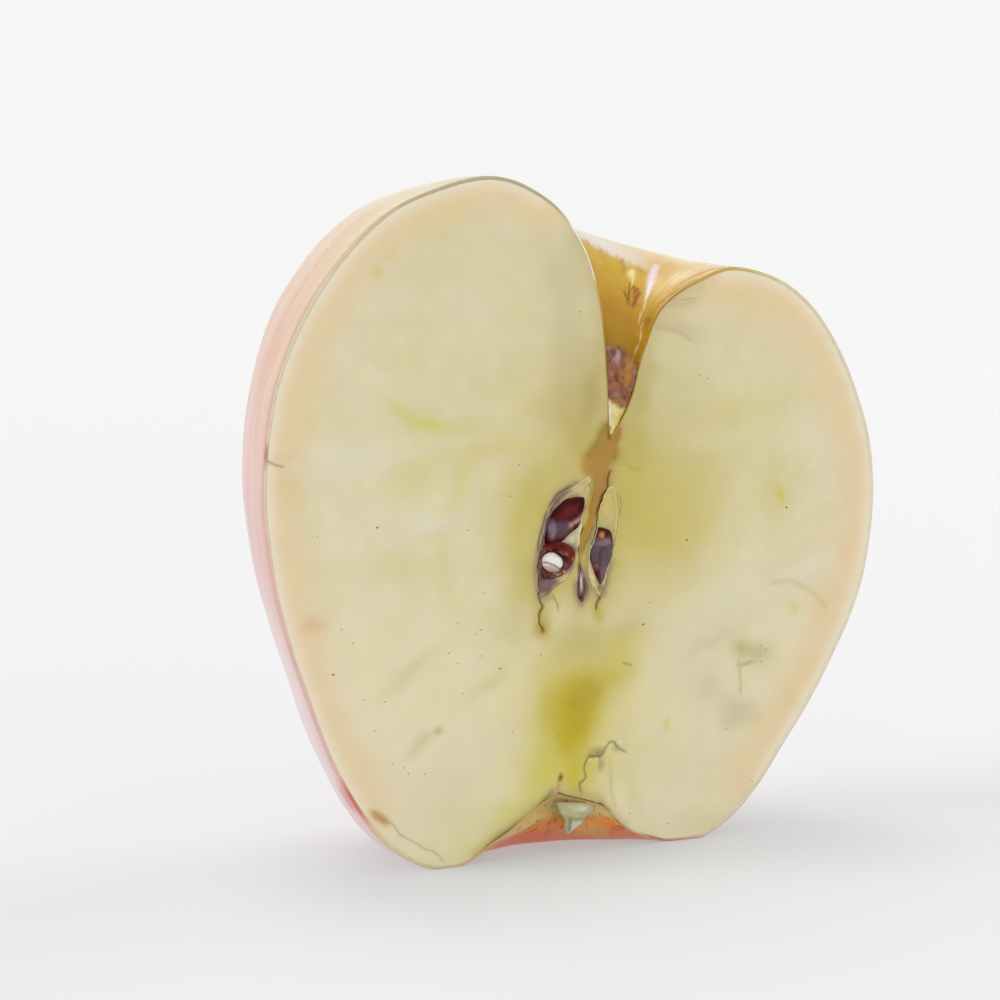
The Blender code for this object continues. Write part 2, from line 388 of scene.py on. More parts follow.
# The knifed edge of the peel on either side of the half, from the calyx to the stem.
LEFT_EDGE = (
    (0.00, "c09058"),
    (0.05, "c8a068"),
    (0.14, "ccaa6c"),
    (0.17, "d2bf92"),
    (0.24, "e0d0a4"),
    (0.262, "e6c4a4"),
    (0.275, "dc7a6c"),
    (0.288, "dc7a6c"),
    (0.300, "e6c0b0"),
    (0.42, "e8c4b4"),
    (0.475, "e8d2bc"),
    (0.485, "b08a68"),
    (0.495, "e8d2bc"),
    (0.60, "e2d4b6"),
    (0.68, "beb38f"),
    (0.77, "beb08a"),
    (0.79, "dcc890"),
    # From 0.80 to 0.85 the edge is painted near white, a painted highlight where it runs over the rim of the
    # stem hollow.
    (0.80, "fbf6ea"),
    (0.85, "fbf4e0"),
    (0.86, "d8b450"),
    (0.885, "c8a444"),
    (0.90, "a89050"),
    (1.00, "b8a455"),
)
RIGHT_EDGE = (
    (0.00, "8a5c38"),
    (0.03, "6f4526"),
    (0.05, "80563a"),
    (0.06, "b08a60"),
    (0.085, "c09c74"),
    (0.095, "a8583c"),
    (0.11, "c08c6c"),
    (0.125, "e0d2b0"),
    (0.14, "c07860"),
    (0.18, "d8a898"),
    (0.20, "e2d2b0"),
    (0.30, "ecdfc2"),
    (0.50, "ecdfc2"),
    (0.66, "e2d2a8"),
    (0.71, "cdb35a"),
    (0.76, "c9a644"),
    (0.80, "a8843c"),
    (0.84, "9a7a34"),
    (0.90, "ac9048"),
    (1.00, "b8a455"),
)


def waxy_peel():
    """Apple peel, a waxed skin: pink streaks from stem to calyx under a clear gloss."""
    material, shader = new_material(
        "waxy_peel", Roughness=0.42, Specular_IOR_Level=0.25, Coat_Roughness=0.16
    )
    ground = node(material, "Attribute", attribute_name="tint")
    along = node(material, "UVMap", uv_map="meridians").outputs["UV"]
    # A streak is half a millimetre wide and a centimetre or two long.
    stretch = node(material, "Mapping", {"Vector": along}, Scale=(210, 9, 1)).outputs[0]
    fine = node(material, "TexNoise", {"Vector": stretch}, Scale=1.0, Detail=4.0, Roughness=0.6)
    stretch = node(material, "Mapping", {"Vector": along}, Scale=(34, 3.2, 1)).outputs[0]
    broad = node(material, "TexNoise", {"Vector": stretch}, Scale=1.0, Detail=2.0)
    both = node(material, "Math", {0: fine.outputs["Fac"], 1: broad.outputs["Fac"]}, operation="ADD")
    streak = node(material, "MapRange", {"Value": both.outputs[0]}, From_Min=0.85, From_Max=1.35)
    amount = node(material, "Math", {0: streak.outputs[0], 1: ground.outputs["Alpha"]}, operation="MULTIPLY")
    blush = node(
        material,
        "MixRGB",
        {"Fac": amount.outputs[0], "Color1": ground.outputs["Color"]},
        Color2=colour("bf4f4c"),
    )
    # Lenticels, the pores of the skin: pale dots a few millimetres apart.
    place = node(material, "TexCoord").outputs["Object"]
    pores = node(material, "TexVoronoi", {"Vector": place}, Scale=330.0)
    dots = node(material, "MapRange", {"Value": pores.outputs["Distance"]}, From_Min=0.13, From_Max=0.07)
    share = node(material, "Math", {0: dots.outputs[0], 1: ground.outputs["Alpha"]}, operation="MULTIPLY")
    speckled = node(
        material,
        "MixRGB",
        {"Fac": share.outputs[0], "Color1": blush.outputs["Color"]},
        Color2=colour("efd9b4"),
    )
    material.node_tree.links.new(speckled.outputs["Color"], shader.inputs["Base Color"])
    lumps = node(material, "TexNoise", {"Vector": place}, Scale=700.0, Detail=2.0)
    bump = node(material, "Bump", {"Height": lumps.outputs["Fac"]}, Strength=0.12, Distance=0.0002)
    material.node_tree.links.new(bump.outputs[0], shader.inputs["Normal"])
    # The wax is thick on the cheeks, thin in the basin and gone from the hollow.
    wax = node(material, "Attribute", attribute_name="wax").outputs["Fac"]
    material.node_tree.links.new(wax, shader.inputs["Coat Weight"])
    return material


def knifed_edge():
    """The edge that the knife left on the peel: matt, browned by the air in places, and painted near white
    as a highlight where it runs over the rim of the stem hollow.
    """
    material, shader = new_material("knifed_peel_edge", Roughness=0.55, Specular_IOR_Level=0.3)
    shade = node(material, "Attribute", attribute_name="edge_tint").outputs["Color"]
    place = node(material, "TexCoord").outputs["Object"]
    stain = node(material, "TexNoise", {"Vector": place}, Scale=900.0, Detail=2.0)
    lift = node(material, "MapRange", {"Value": stain.outputs["Fac"]}, To_Min=0.85, To_Max=1.12)
    worn = node(material, "VectorMath", {0: shade, "Scale": lift.outputs[0]}, operation="SCALE")
    material.node_tree.links.new(worn.outputs[0], shader.inputs["Base Color"])
    return material


def peel():
    """The sheet given its thickness inwards, with the knifed edge as faces of their own."""
    bm = peel_sheet(PEEL_ROWS, PEEL_COLUMNS, PEEL_LUMPS)
    for face in thicken(bm, peel_depths(bm)):
        face.material_index = 1
        for vert in face.verts:
            vert.co.y = 0
    for vert in bm.verts:
        vert.co.y = max(vert.co.y, 0)
    return bm


def paint_peel(piece):
    """Tints the skin and its knifed edge, and keeps how waxed each place is."""
    # A place times 100, and in the hollow a turn times 12 to 30, are about millimetres.
    turn, place = peel_places(piece)
    layer = ramp(place, PEEL_GROUND)
    # The painted sheen and the marks fray along the streaks of the skin.
    frayed = place + 0.010 * ripple(turn, place, 0.012, 3.5) + 0.006 * ripple(turn, place, 0.05, 8.5)
    wavering = 0.004 * ripple(turn * 20, place * 100, 0.9, 47.5)
    # A painted sheen on the far shoulder, a pale band of reflected light, which ends in streaks where the
    # hollow begins.
    painted_sheen = oval(turn, place, 0.52, 0.785, 0.32, 0.070, 0, 2) * np.clip((0.788 - frayed) / 0.012, 0, 1)
    # Streaks of gold run down the right wall of the hollow.
    gold = ripple(turn * 30, frayed * 6, 0.35, 44.5) * oval(turn, place, 0.08, 0.775, 0.10, 0.05, 0, 2)
    tint(layer, "dcd9d000", 0.97 * painted_sheen)
    for *where, shade, strength, hard in PEEL_MARKS:
        tint(layer, shade, strength * oval(turn, frayed, *where, hard=hard))
    for points, width, shade, strength in PEEL_LINES:
        gap = line_distance(turn + wavering, frayed, points)
        tint(layer, shade, strength * fade(gap, width, 4))
    tint(layer, "c4923400", 0.32 * np.clip(gold * 2.5, 0, 1))
    tint(layer, "efe2c800", 0.25 * np.clip(-gold * 2.5, 0, 1))
    ochre = np.clip((place - 0.78) / 0.05, 0, 1)
    mottle = ripple(turn * 12, place * 100, 1.6, 14.5)
    tint(layer, "a8801800", 0.6 * ochre * np.clip(mottle, 0, 1))
    tint(layer, "ccaa3800", 0.6 * ochre * np.clip(-mottle, 0, 1))
    # A net of russet where the stalk rubbed the wall.
    net = fade(ripple(turn * 12, place * 100, 0.5, 18.5), 0.06)
    tint(layer, "7e3c1600", 0.85 * net * oval(turn, place, 0.262, 0.834, 0.085, 0.010, 0, 2))
    # The bottom of the calyx basin is tan, farther out on the left, with small red spots round it.
    tan = np.interp(turn, *zip(*TAN_REACH))
    tint(layer, "e6cc8000", 0.85 * np.clip((tan - frayed) / 0.006, 0, 1))
    basin = np.clip((0.15 - place) / 0.04, 0, 1)
    spots = np.clip(ripple(turn * 22, place * 100, 0.7, 24.5) * 3 - 0.9, 0, 1)
    tint(layer, "7a341e00", 0.5 * basin * spots)
    store_tint(piece, layer)
    edge = np.where((turn < 0.5)[:, None], ramp(place, RIGHT_EDGE), ramp(place, LEFT_EDGE))
    store_tint(piece, edge, "edge_tint")
    store_amount(piece, np.interp(place, (0.10, 0.18, 0.70, 0.75), (0.05, 0.6, 0.6, 0.06)), "wax")


skin = add_piece(peel(), "peel", waxy_peel(), knifed_edge())
paint_peel(skin)
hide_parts("apple_half")

# ------------------------------------------------------------------------------------------
# Flesh. The pale, juicy body of the apple, cut in one stroke through the core. The knife left
# it faintly wavy and torn at the calyx, the air has begun to brown it, and it is yellower
# where the bundles of veins run round the core.
# ------------------------------------------------------------------------------------------

BODY_ROWS = 150
BODY_COLUMNS = 90
BODY_FRONT = -2  # how far in front of the cut the body is carried on, for the knife to take off
KNIFE_COLUMNS = 280
KNIFE_ROWS = 330
KNIFE_BACK = 45
KNIFE_MIDDLE = (-1, 34)  # x and z of the middle of the knife's path, and how far it goes each way
KNIFE_REACH = (38, 35)
KNIFE_WAVES = ((0.13, 6.5, 1.5), (0.05, 2.4, 4.5), (0.015, 0.8, 7.5))  # height, size and seed
PROUD_OF_FLESH = 0.02  # how far the edge of the peel stands in front of the flesh
EDGE_STEPS = 160
# The stretches of the left and the right edge of the cut over the cheeks, down the stem hollow
# and in the calyx basin, in those steps.
CHEEKS = (slice(44, 122), slice(42, 116))
HOLLOW = (slice(130, None), slice(122, None))
BASIN = (slice(24), slice(18))
WHOLE = (slice(None), slice(None))

# The seed chambers where the knife opened them, as outlines on the cut face from the top round
# the left side, with the depth of each behind it.
CHAMBERS = {
    "left": (
        ((-0.7, 38.1), (-1.6, 38.0), (-2.5, 37.4), (-3.6, 36.9), (-4.7, 36.2), (-5.4, 35.1))
        + ((-5.9, 33.9), (-6.25, 32.7), (-6.6, 31.4), (-6.95, 30.2), (-7.1, 28.9), (-7.0, 27.8))
        + ((-6.7, 26.3), (-5.9, 26.3), (-5.0, 26.9), (-4.1, 27.5), (-3.3, 28.1), (-2.6, 28.9))
        + ((-2.2, 29.8), (-2.1, 30.9), (-1.9, 32.1), (-1.65, 33.2), (-1.4, 34.4), (-1.1, 35.5))
        + ((-0.85, 36.9),),
        1.7,
    ),
    "right": (
        ((1.85, 37.2), (1.2, 36.7), (0.6, 35.8), (0.1, 34.2), (-0.1, 32.9), (-0.5, 31.7))
        + ((-1.0, 30.3), (-1.05, 29.1), (-0.95, 27.9), (-0.3, 26.8), (0.3, 26.0), (0.75, 26.3))
        + ((1.15, 27.6), (1.65, 29.4), (2.15, 31.2), (2.45, 32.6), (2.6, 33.9), (2.55, 35.1))
        + ((2.35, 36.4),),
        1.5,
    ),
    "middle": (
        ((-2.0, 29.4), (-2.25, 28.4), (-2.4, 27.3), (-2.35, 26.2), (-1.9, 25.4), (-1.2, 26.2))
        + ((-1.05, 27.0), (-1.5, 28.4)),
        1.2,
    ),
}
CHAMBER_STEPS = ((0, 1), (0.25, 0.97), (0.5, 0.88), (0.75, 0.68), (0.92, 0.42), (1, 0.2))
CUTTER_FRONT = -1.5
# Torn and crumpled edges are drawn at random, and this makes them come out the same each time.
CRUMPLE_SEED = 3
noise.seed_set(CRUMPLE_SEED)
MOUTH_RAGGED = 0.14  # how far the edge of a chamber strays from its outline

# The vein that runs from the stem between the chambers: places on it and its width at each.
CORE_VEIN = ((1.65, 42.8, 1.9), (1.15, 41.2, 2.5), (0.40, 39.8, 3.5), (0.25, 38.6, 3.1))
CORE_VEIN += ((0.5, 37.8, 2.1), (0.3, 36.9, 1.6), (-0.15, 35.8, 1.4), (-0.5, 34.3, 1.1))
CORE_VEIN += ((-1.0, 32.9, 1.0), (-1.45, 31.9, 1.1), (-1.85, 30.5, 0.7), (-1.95, 29.4, 0.4))

# Soft stains: x, z, half width, half height, lean in degrees, colour and strength.
STAINS = (
    (-12.0, 58.0, 18.0, 16.0, 0, "d9cfa8", 0.45),
    (20.0, 54.0, 12.0, 10.0, 0, "dacfa6", 0.35),
    (0.5, 36.0, 12.0, 15.0, 0, "d2c67c", 0.62),  # the yellower zone round the core
    (-3.4, 44.4, 3.6, 4.4, 10, "c4b068", 0.75),
    (-1.9, 41.4, 2.0, 2.2, 0, "c0a848", 0.55),
    (7.0, 32.5, 5.4, 6.6, 15, "cab64e", 0.72),
    (4.6, 36.6, 3.0, 5.0, 0, "c8b658", 0.65),
    (4.6, 42.0, 3.0, 4.0, 0, "baaa42", 0.72),
    (8.0, 39.0, 4.4, 4.2, 0, "c9bb66", 0.60),
    (-9.2, 33.4, 3.2, 4.6, 0, "cbbd5c", 0.75),
    (-7.4, 36.8, 2.4, 3.0, 0, "c4b658", 0.65),
    (-8.6, 27.6, 2.0, 3.6, 0, "c6ba64", 0.70),
    (-10.0, 23.5, 3.4, 2.2, 0, "ccc190", 0.50),
    (-4.4, 39.4, 3.0, 2.2, 30, "c6b866", 0.55),
    (-19.2, 43.5, 1.7, 0.40, -10, "cdd052", 0.95),  # a vein cut lengthwise, still green
    (-21.6, 44.6, 2.4, 0.8, -25, "d4cb74", 0.60),
    (-15.5, 43.0, 5.5, 1.4, -5, "d5ca84", 0.50),
    (-20.9, 38.3, 3.2, 1.8, 0, "d8ce8c", 0.60),
    (-15.3, 38.1, 1.2, 2.8, -15, "d4cb80", 0.60),
    (-12.0, 41.0, 6.0, 0.9, 6, "d2c67c", 0.55),
    (-17.6, 31.6, 1.0, 3.6, 0, "d5cc8a", 0.50),
    (-22.5, 29.6, 3.4, 1.4, -8, "d6cd92", 0.50),
    (-13.0, 34.0, 2.4, 1.6, 20, "dcd4b4", 0.50),
    (-18.8, 33.8, 2.8, 1.0, 12, "e2dbc4", 0.75),
    (15.6, 44.2, 5.0, 2.2, 0, "d3c880", 0.60),
    (21.3, 44.6, 3.0, 2.0, 0, "d8cc94", 0.50),
    (13.7, 38.5, 5.0, 3.0, 0, "d0c480", 0.60),
    (11.0, 34.6, 4.0, 4.6, 0, "cdbf6c", 0.50),
    (22.4, 36.0, 3.4, 3.2, 0, "d1c680", 0.60),
    (22.9, 35.6, 0.6, 0.8, 20, "cbc84a", 0.75),
    (26.5, 27.6, 4.6, 1.5, 20, "e2dbc0", 0.75),
    (16.3, 23.7, 6.5, 3.6, 15, "dfd8b8", 0.75),
    (12.0, 18.0, 3.5, 6.0, 10, "ddd5b4", 0.65),
    (19.6, 18.8, 2.4, 1.3, -5, "c4bb8c", 0.75),
    (18.0, 19.8, 1.2, 1.0, 0, "b9b26a", 0.65),
    (17.4, 12.8, 2.6, 1.7, -15, "c9bf9c", 0.70),
    (20.0, 11.6, 1.2, 0.9, 0, "d5cb8c", 0.50),
    (13.8, 15.6, 2.0, 1.2, 0, "cdc49e", 0.50),
    (14.8, 20.6, 3.6, 0.8, 20, "ccc39a", 0.50),
    (29.4, 23.2, 2.4, 2.4, -30, "dec092", 0.60),
    (32.2, 30.2, 1.1, 2.0, -20, "dab88a", 0.70),
    (31.6, 36.6, 1.4, 1.8, 0, "dbc496", 0.50),
    (26.6, 16.8, 1.3, 1.6, -30, "dfbd8a", 0.50),
    (23.6, 13.4, 1.2, 1.8, -30, "dfba88", 0.60),
    (24.7, 23.5, 0.8, 0.9, 0, "d2cc7a", 0.60),
    (8.6, 12.2, 0.5, 0.7, 0, "d4d070", 0.80),
    (9.5, 7.6, 7.0, 3.6, -5, "dfd7ae", 0.70),
    (12.5, 1.5, 5.0, 1.4, 0, "dbcc9e", 0.60),
    (-29.0, 40.2, 5.0, 1.3, 0, "e3dcc4", 0.80),
    (-34.6, 37.6, 1.3, 1.1, -20, "dcb080", 0.80),  # two knocks that browned
    (-35.0, 40.9, 1.6, 0.5, -6, "d8b284", 0.80),
    (-32.0, 24.6, 1.3, 0.9, 20, "dab084", 0.85),
    (-31.0, 27.2, 1.8, 1.8, 0, "e2d9b8", 0.60),
    (-16.4, 64.5, 1.3, 0.8, 10, "d9cb70", 0.75),
    (-19.9, 63.1, 1.0, 0.7, 30, "dbcb7c", 0.60),
    (-7.2, 64.6, 1.2, 0.8, -20, "dbcc80", 0.60),
    (-23.2, 60.2, 0.9, 0.8, 40, "dcc980", 0.60),
    (-24.7, 58.2, 0.5, 0.7, 0, "d2c966", 0.80),
    (16.9, 56.7, 2.6, 1.0, -8, "dcc670", 0.80),
    (21.4, 56.4, 3.4, 1.8, -15, "e3c68e", 0.65),
    (-3.6, 57.0, 2.6, 5.0, 10, "c6bd94", 0.60),
    (-3.0, 49.5, 2.6, 4.0, 0, "bfb382", 0.50),
    (-0.4, 46.8, 1.7, 4.2, -6, "b0a054", 0.75),
    (9.0, 46.0, 4.0, 5.5, 0, "cbc08a", 0.55),
    (5.2, 47.2, 1.5, 3.6, -20, "b4a85c", 0.70),
    (10.2, 53.0, 3.4, 1.3, -12, "cfc298", 0.70),  # two smears by the stem hollow
    (10.6, 55.8, 2.4, 0.9, 0, "d2c094", 0.60),
    (-2.0, 21.2, 4.0, 2.1, 0, "bfb27e", 0.85),
    (3.6, 22.4, 2.6, 1.9, 20, "c4b882", 0.60),
    (-0.6, 24.2, 2.2, 0.9, 0, "d8cfa4", 0.60),
    (-2.6, 14.0, 6.6, 7.4, 0, "d6ca64", 0.80),  # the mustard wedge under the core
    (-4.6, 15.8, 2.6, 3.4, 10, "cbbd4c", 0.75),
    (1.0, 17.4, 4.0, 2.6, 30, "cbbb48", 0.75),
    (3.2, 20.0, 2.2, 2.4, 24, "d0c258", 0.50),
    (-2.7, 14.4, 2.8, 3.8, -6, "c2aa26", 0.80),
    (-3.3, 11.8, 2.0, 2.4, 0, "c8b21e", 0.90),
    (-1.0, 16.6, 2.4, 2.0, 20, "b8a636", 0.60),
    (-2.7, 15.1, 0.5, 0.5, 0, "a18a24", 0.60),
    (-2.3, 12.7, 0.8, 0.8, 0, "ae9422", 0.50),
    (-2.8, 8.8, 4.0, 2.4, 0, "d2c658", 0.85),
    (-2.4, 7.4, 1.8, 1.8, 0, "cbba34", 0.85),
    (-6.6, 8.0, 1.8, 3.6, -24, "cfc658", 0.75),
    (-9.0, 5.0, 4.0, 2.0, 30, "d2c968", 0.80),
    (-6.4, 5.3, 1.6, 0.8, 40, "a49c48", 0.80),
    (-13.0, 2.4, 4.4, 1.8, 24, "d6cc70", 0.70),
    (-16.0, 5.0, 4.5, 3.0, 0, "ddd4a2", 0.60),
    (4.2, 6.0, 1.2, 3.6, 10, "d9cf98", 0.60),
    (0.7, 6.6, 0.9, 2.2, 6, "dfd59c", 0.60),
    (-1.9, 5.9, 1.0, 0.7, 0, "b3a444", 0.60),
    (0.0, 5.6, 0.9, 0.8, 0, "bcae50", 0.50),
    (-7.6, 4.4, 2.2, 0.5, 35, "a79e70", 0.70),
    (-11.0, 2.7, 2.2, 0.5, 30, "aca274", 0.60),
    (-6.4, 22.9, 0.9, 1.2, 0, "b59c22", 0.90),
    (-6.6, 24.6, 0.9, 1.4, 0, "c3b258", 0.75),
    (0.2, 24.4, 0.6, 1.0, 0, "bcae34", 0.75),
    (-24.6, 3.6, 3.4, 1.0, -35, "e6deb4", 0.85),
    (-21.4, 19.7, 4.0, 0.9, 36, "d3ca8e", 0.60),
    (-18.2, 13.6, 0.45, 0.4, 0, "b2ab74", 0.80),
    (-20.3, 12.3, 2.2, 0.7, 38, "ccc392", 0.60),
    (-12.4, 18.3, 3.2, 0.9, 34, "d3c98a", 0.60),
    (-11.5, 12.0, 2.6, 1.3, 25, "dfd8b8", 0.50),
    (-17.5, 8.6, 5.0, 3.0, 0, "ded6b2", 0.60),
)

# Sharp marks, painted last: as stains, but with an edge.
BLOTS = (
    (-2.6, 13.6, 2.3, 3.9, -8, "bfa81c", 0.60),
    (-1.2, 15.8, 2.2, 1.4, 34, "b8a430", 0.50),
    (-0.1, 10.2, 1.0, 0.45, 10, "a8944a", 0.55),
    (18.6, 17.9, 1.2, 0.26, 4, "a89c6c", 0.60),
    (-0.3, 9.62, 0.95, 0.16, -4, "74481a", 0.80),
    (-24.7, 5.7, 1.35, 0.46, -38, "c49a60", 1.00),
    (-34.9, 41.0, 0.5, 0.30, 20, "e9cfa4", 0.90),
    # Painted light on a lifted flap of flesh: a painted shade in its hollow, then a painted highlight along
    # its upper edge.
    (2.3, 10.2, 0.60, 0.45, -20, "b4b08a", 0.65),
    (2.9, 10.7, 0.20, 0.45, 40, "ebe5cf", 0.80),
    (0.4, 9.9, 0.55, 0.45, 0, "93805a", 0.60),
    # A painted shadow beside the raised chip of flesh.
    (0.65, 8.6, 0.34, 0.70, 0, "b0aa88", 0.65),
    # Two painted glints: small highlights on the wet tear.
    (-0.95, 9.30, 0.16, 0.14, 0, "f6f2e0", 0.90),
    (0.06, 9.40, 0.14, 0.14, 0, "f6f2e0", 0.90),
    (-4.2, 7.75, 0.26, 0.48, 10, "8a5a1c", 0.90),
    (-4.5, 6.90, 0.26, 0.40, -30, "c4965a", 0.65),
    (-4.95, 6.2, 0.30, 0.50, -10, "b5a392", 0.85),
    (-6.40, 22.85, 0.20, 0.30, 0, "8f5a20", 0.90),
)

# The courses of the longer cracks: up through the calyx, along the roots of the sepals, at the
# edges of the calyx basin and of the foot, and under the left seed chamber.
CALYX_TEAR = ((-2.0, 6.2), (-2.0, 7.1), (-1.2, 7.6), (-1.5, 8.4), (-1.2, 9.3), (-0.8, 9.75))
CALYX_TEAR += ((-0.2, 9.65), (0.5, 9.4), (0.9, 9.9), (1.1, 10.5), (1.6, 10.9), (2.2, 10.9))
CALYX_TEAR += ((2.8, 10.2), (3.4, 9.8))
SEPAL_ROOTS = ((-4.4, 6.2), (-3.8, 5.75), (-2.7, 5.35), (-1.2, 4.95), (-0.5, 4.95), (0.6, 4.6))
SEPAL_ROOTS += ((1.3, 3.9),)
BASIN_EDGE = ((-5.4, 6.3), (-6.6, 5.0), (-7.9, 4.1), (-9.6, 3.4), (-11.2, 2.5), (-12.8, 1.4))
FOOT_EDGE = ((-24.0, 5.2), (-23.3, 4.9), (-22.6, 3.8), (-21.6, 3.2), (-20.2, 2.4), (-19.0, 1.9))
FOOT_EDGE += ((-17.9, 0.9),)
UNDER_CORE = ((-6.75, 26.6), (-6.7, 25.9), (-6.4, 25.2), (-6.75, 24.5), (-6.85, 23.7), (-6.45, 23.1))
# Cracks and creases: points, half width, depth, colour and strength.
CRACKS = (
    (UNDER_CORE, 0.14, 0.20, "6a4e2c", 0.80),
    (((-5.2, 26.2), (-4.7, 25.4), (-4.55, 25.0)), 0.14, 0.10, "9a8450", 0.55),
    (((0.3, 26.4), (0.4, 25.7), (0.0, 25.2), (-0.05, 24.8)), 0.14, 0.20, "6c4e2a", 0.75),
    (((-5.5, 35.4), (-4.6, 36.5), (-3.4, 37.1)), 0.16, 0.12, "6b5444", 0.75),
    (((-6.9, 31.0), (-6.4, 33.2), (-5.9, 34.6)), 0.12, 0.10, "6b5444", 0.70),
    (((1.6, 38.6), (1.15, 36.85), (0.55, 35.9), (0.05, 34.3)), 0.15, 0.06, "6d3a20", 0.85),
    (((-0.4, 33.0), (-0.8, 32.1), (-1.45, 30.8)), 0.12, 0.05, "86632f", 0.65),
    (((-1.5, 33.0), (-2.05, 31.9), (-2.25, 30.2)), 0.12, 0.05, "6a4220", 0.80),
    (((2.72, 36.0), (2.86, 35.1), (2.80, 34.3)), 0.10, 0.04, "94845a", 0.50),
    (CALYX_TEAR, 0.13, 0.14, "8a7846", 0.60),
    (((1.6, 9.0), (1.75, 7.4), (1.8, 5.9), (2.2, 4.3)), 0.30, 0.06, "c9be86", 0.40),
    (SEPAL_ROOTS, 0.12, 0.20, "74431e", 0.85),
    (BASIN_EDGE, 0.38, 0.09, "989058", 0.55),
    (FOOT_EDGE, 0.13, 0.02, "a09474", 0.42),
    (((21.8, 26.2), (23.6, 26.6), (25.4, 26.1), (27.2, 25.0), (28.9, 23.6)), 0.48, 0.05, "c8b982", 0.32),
    (((17.7, 18.0), (17.9, 17.0), (17.8, 15.2)), 0.36, 0.03, "c0b87c", 0.45),
    (((-36.6, 40.4), (-35.8, 40.1), (-34.9, 39.9)), 0.20, 0.08, "ae8a62", 0.55),
    (((8.3, 56.0), (10.2, 56.1), (12.0, 56.3)), 0.14, 0.06, "bcac80", 0.35),
    (((8.3, 55.4), (10.4, 55.5), (11.8, 55.9)), 0.14, 0.06, "c6b688", 0.35),
    (((7.2, 53.2), (8.7, 53.1), (10.6, 52.5), (11.3, 52.0)), 0.30, 0.08, "c0b184", 0.40),
    (((2.0, 39.3), (3.6, 39.2), (5.2, 38.6)), 0.30, 0.05, "b0a83c", 0.30),
    (((3.3, 18.95), (4.0, 18.6)), 0.12, 0.08, "8f8446", 0.50),
)

CRACK_WANDER = (0.16, 0.9, 11.5)  # how far a crack wavers, how often, and a seed
FAR_FROM_CRACKS = 9.0
# The fibres and browned edges of the core's vein: points, half width, colour and strength.
VEIN_LINES = (
    (((0.7, 43.0), (-0.2, 41.4), (-1.0, 40.2)), 0.55, "9c842a", 0.85),
    (((2.5, 42.8), (2.2, 41.4), (1.9, 40.0)), 0.30, "a87c2c", 0.75),
    (((1.6, 42.4), (1.1, 40.9), (0.7, 40.2)), 0.40, "b08840", 0.80),
    (((-1.5, 40.0), (-1.5, 39.2), (-1.0, 38.6)), 0.42, "b8862c", 0.60),
    (((0.2, 39.6), (0.5, 38.8), (0.6, 37.8)), 0.75, "b48a42", 0.85),
    (((1.0, 38.3), (0.7, 37.0), (0.1, 35.9)), 0.30, "ac7c40", 0.60),
    (((-0.3, 36.4), (-0.5, 35.2), (-0.9, 33.8)), 0.24, "a87c24", 0.80),
    (((-0.55, 33.9), (-1.1, 32.5), (-1.7, 31.4)), 0.24, "b48c2a", 0.80),
    (((-1.9, 31.0), (-1.95, 29.6)), 0.24, "b3973c", 0.80),
)

# Dents: x, z, half width, half height, lean and depth. A negative one stands proud.
DENTS = (
    (-34.4, 37.8, 1.1, 0.8, -20, 0.15),
    (-35.2, 40.6, 0.9, 0.4, -6, 0.15),
    (-32.0, 24.6, 1.2, 0.8, 20, 0.35),
    (19.2, 19.0, 2.4, 1.2, -5, 0.14),
    (17.2, 12.8, 2.4, 1.6, -15, 0.12),
    (-18.8, 33.8, 2.4, 0.8, 12, -0.22),
    (-18.6, 32.4, 2.4, 0.7, 12, 0.18),
    (-25.0, 5.9, 1.4, 0.6, -38, 0.12),
    (-24.8, 3.4, 3.4, 1.2, -35, -0.15),
    (-29.0, 40.4, 5.0, 1.0, 0, -0.20),
    (-20.2, 12.1, 2.4, 0.7, 38, 0.15),
    (16.3, 22.0, 5.0, 1.0, 18, 0.18),
    (27.0, 27.4, 4.0, 1.0, 20, -0.20),
    (0.65, 8.5, 0.5, 0.9, 0, 0.45),
    (2.9, 10.2, 0.6, 0.4, -20, 0.30),
    (-4.3, 7.2, 0.4, 0.9, 10, 0.35),
    (-6.0, 4.9, 1.6, 0.7, 35, 0.35),
    (-10.0, 2.6, 3.0, 0.5, 20, 0.25),
    (9.6, 52.8, 2.8, 0.7, -12, 0.15),
)


def side_of(x, z, points):
    """Distance to the runs between the points, negative to the left of the way that they go."""
    nearest = np.full(len(x), 1e9)
    for (start_x, start_z), (end_x, end_z) in zip(points, points[1:]):
        gap = line_distance(x, z, ((start_x, start_z), (end_x, end_z)))
        right = (x - start_x) * (end_z - start_z) > (z - start_z) * (end_x - start_x)
        nearest = np.where(gap < abs(nearest), np.where(right, gap, -gap), nearest)
    return nearest


def wander(x, z, reach, size, seed):
    """The places, each moved about by up to reach, so that a line drawn at them wavers."""
    return x + reach * ripple(x, z, size, seed), z + reach * ripple(x, z, size, seed + 2)


def cut_edges():
    """The outline of the cut as points, from the calyx up the left side and up the right side."""
    steps = [step / EDGE_STEPS for step in range(EDGE_STEPS + 1)]
    return [
        [tuple(spline([row[side] for row in MERIDIANS], step)) for step in steps]
        for side in (0, 1)
    ]


def edge_distance(x, z, stretches):
    """Distance to the edge of the cut, along one stretch of each side."""
    near = [line_distance(x, z, side[part]) for side, part in zip(cut_edges(), stretches)]
    return np.minimum(*near)


def knife_depth(x, z):
    """How far behind the cut plane the knife left the flesh."""
    wave = sum(height * ripple(x, z, size, seed) for height, size, seed in KNIFE_WAVES)
    inside = 1 - fade(edge_distance(x, z, WHOLE), 1.8)
    depth = PROUD_OF_FLESH + inside * (0.16 + wave)
    for *place, dent in DENTS:
        depth += dent * oval(x, z, *place)
    crack_x, crack_z = wander(x, z, *CRACK_WANDER)
    for points, width, crack, _, _ in CRACKS:
        depth += crack * fade(line_distance(crack_x, crack_z, points), width)
    depth += 0.15 * fade(line_distance(x, z, [place[:2] for place in CORE_VEIN]), 1.0)
    return np.maximum(depth, PROUD_OF_FLESH)


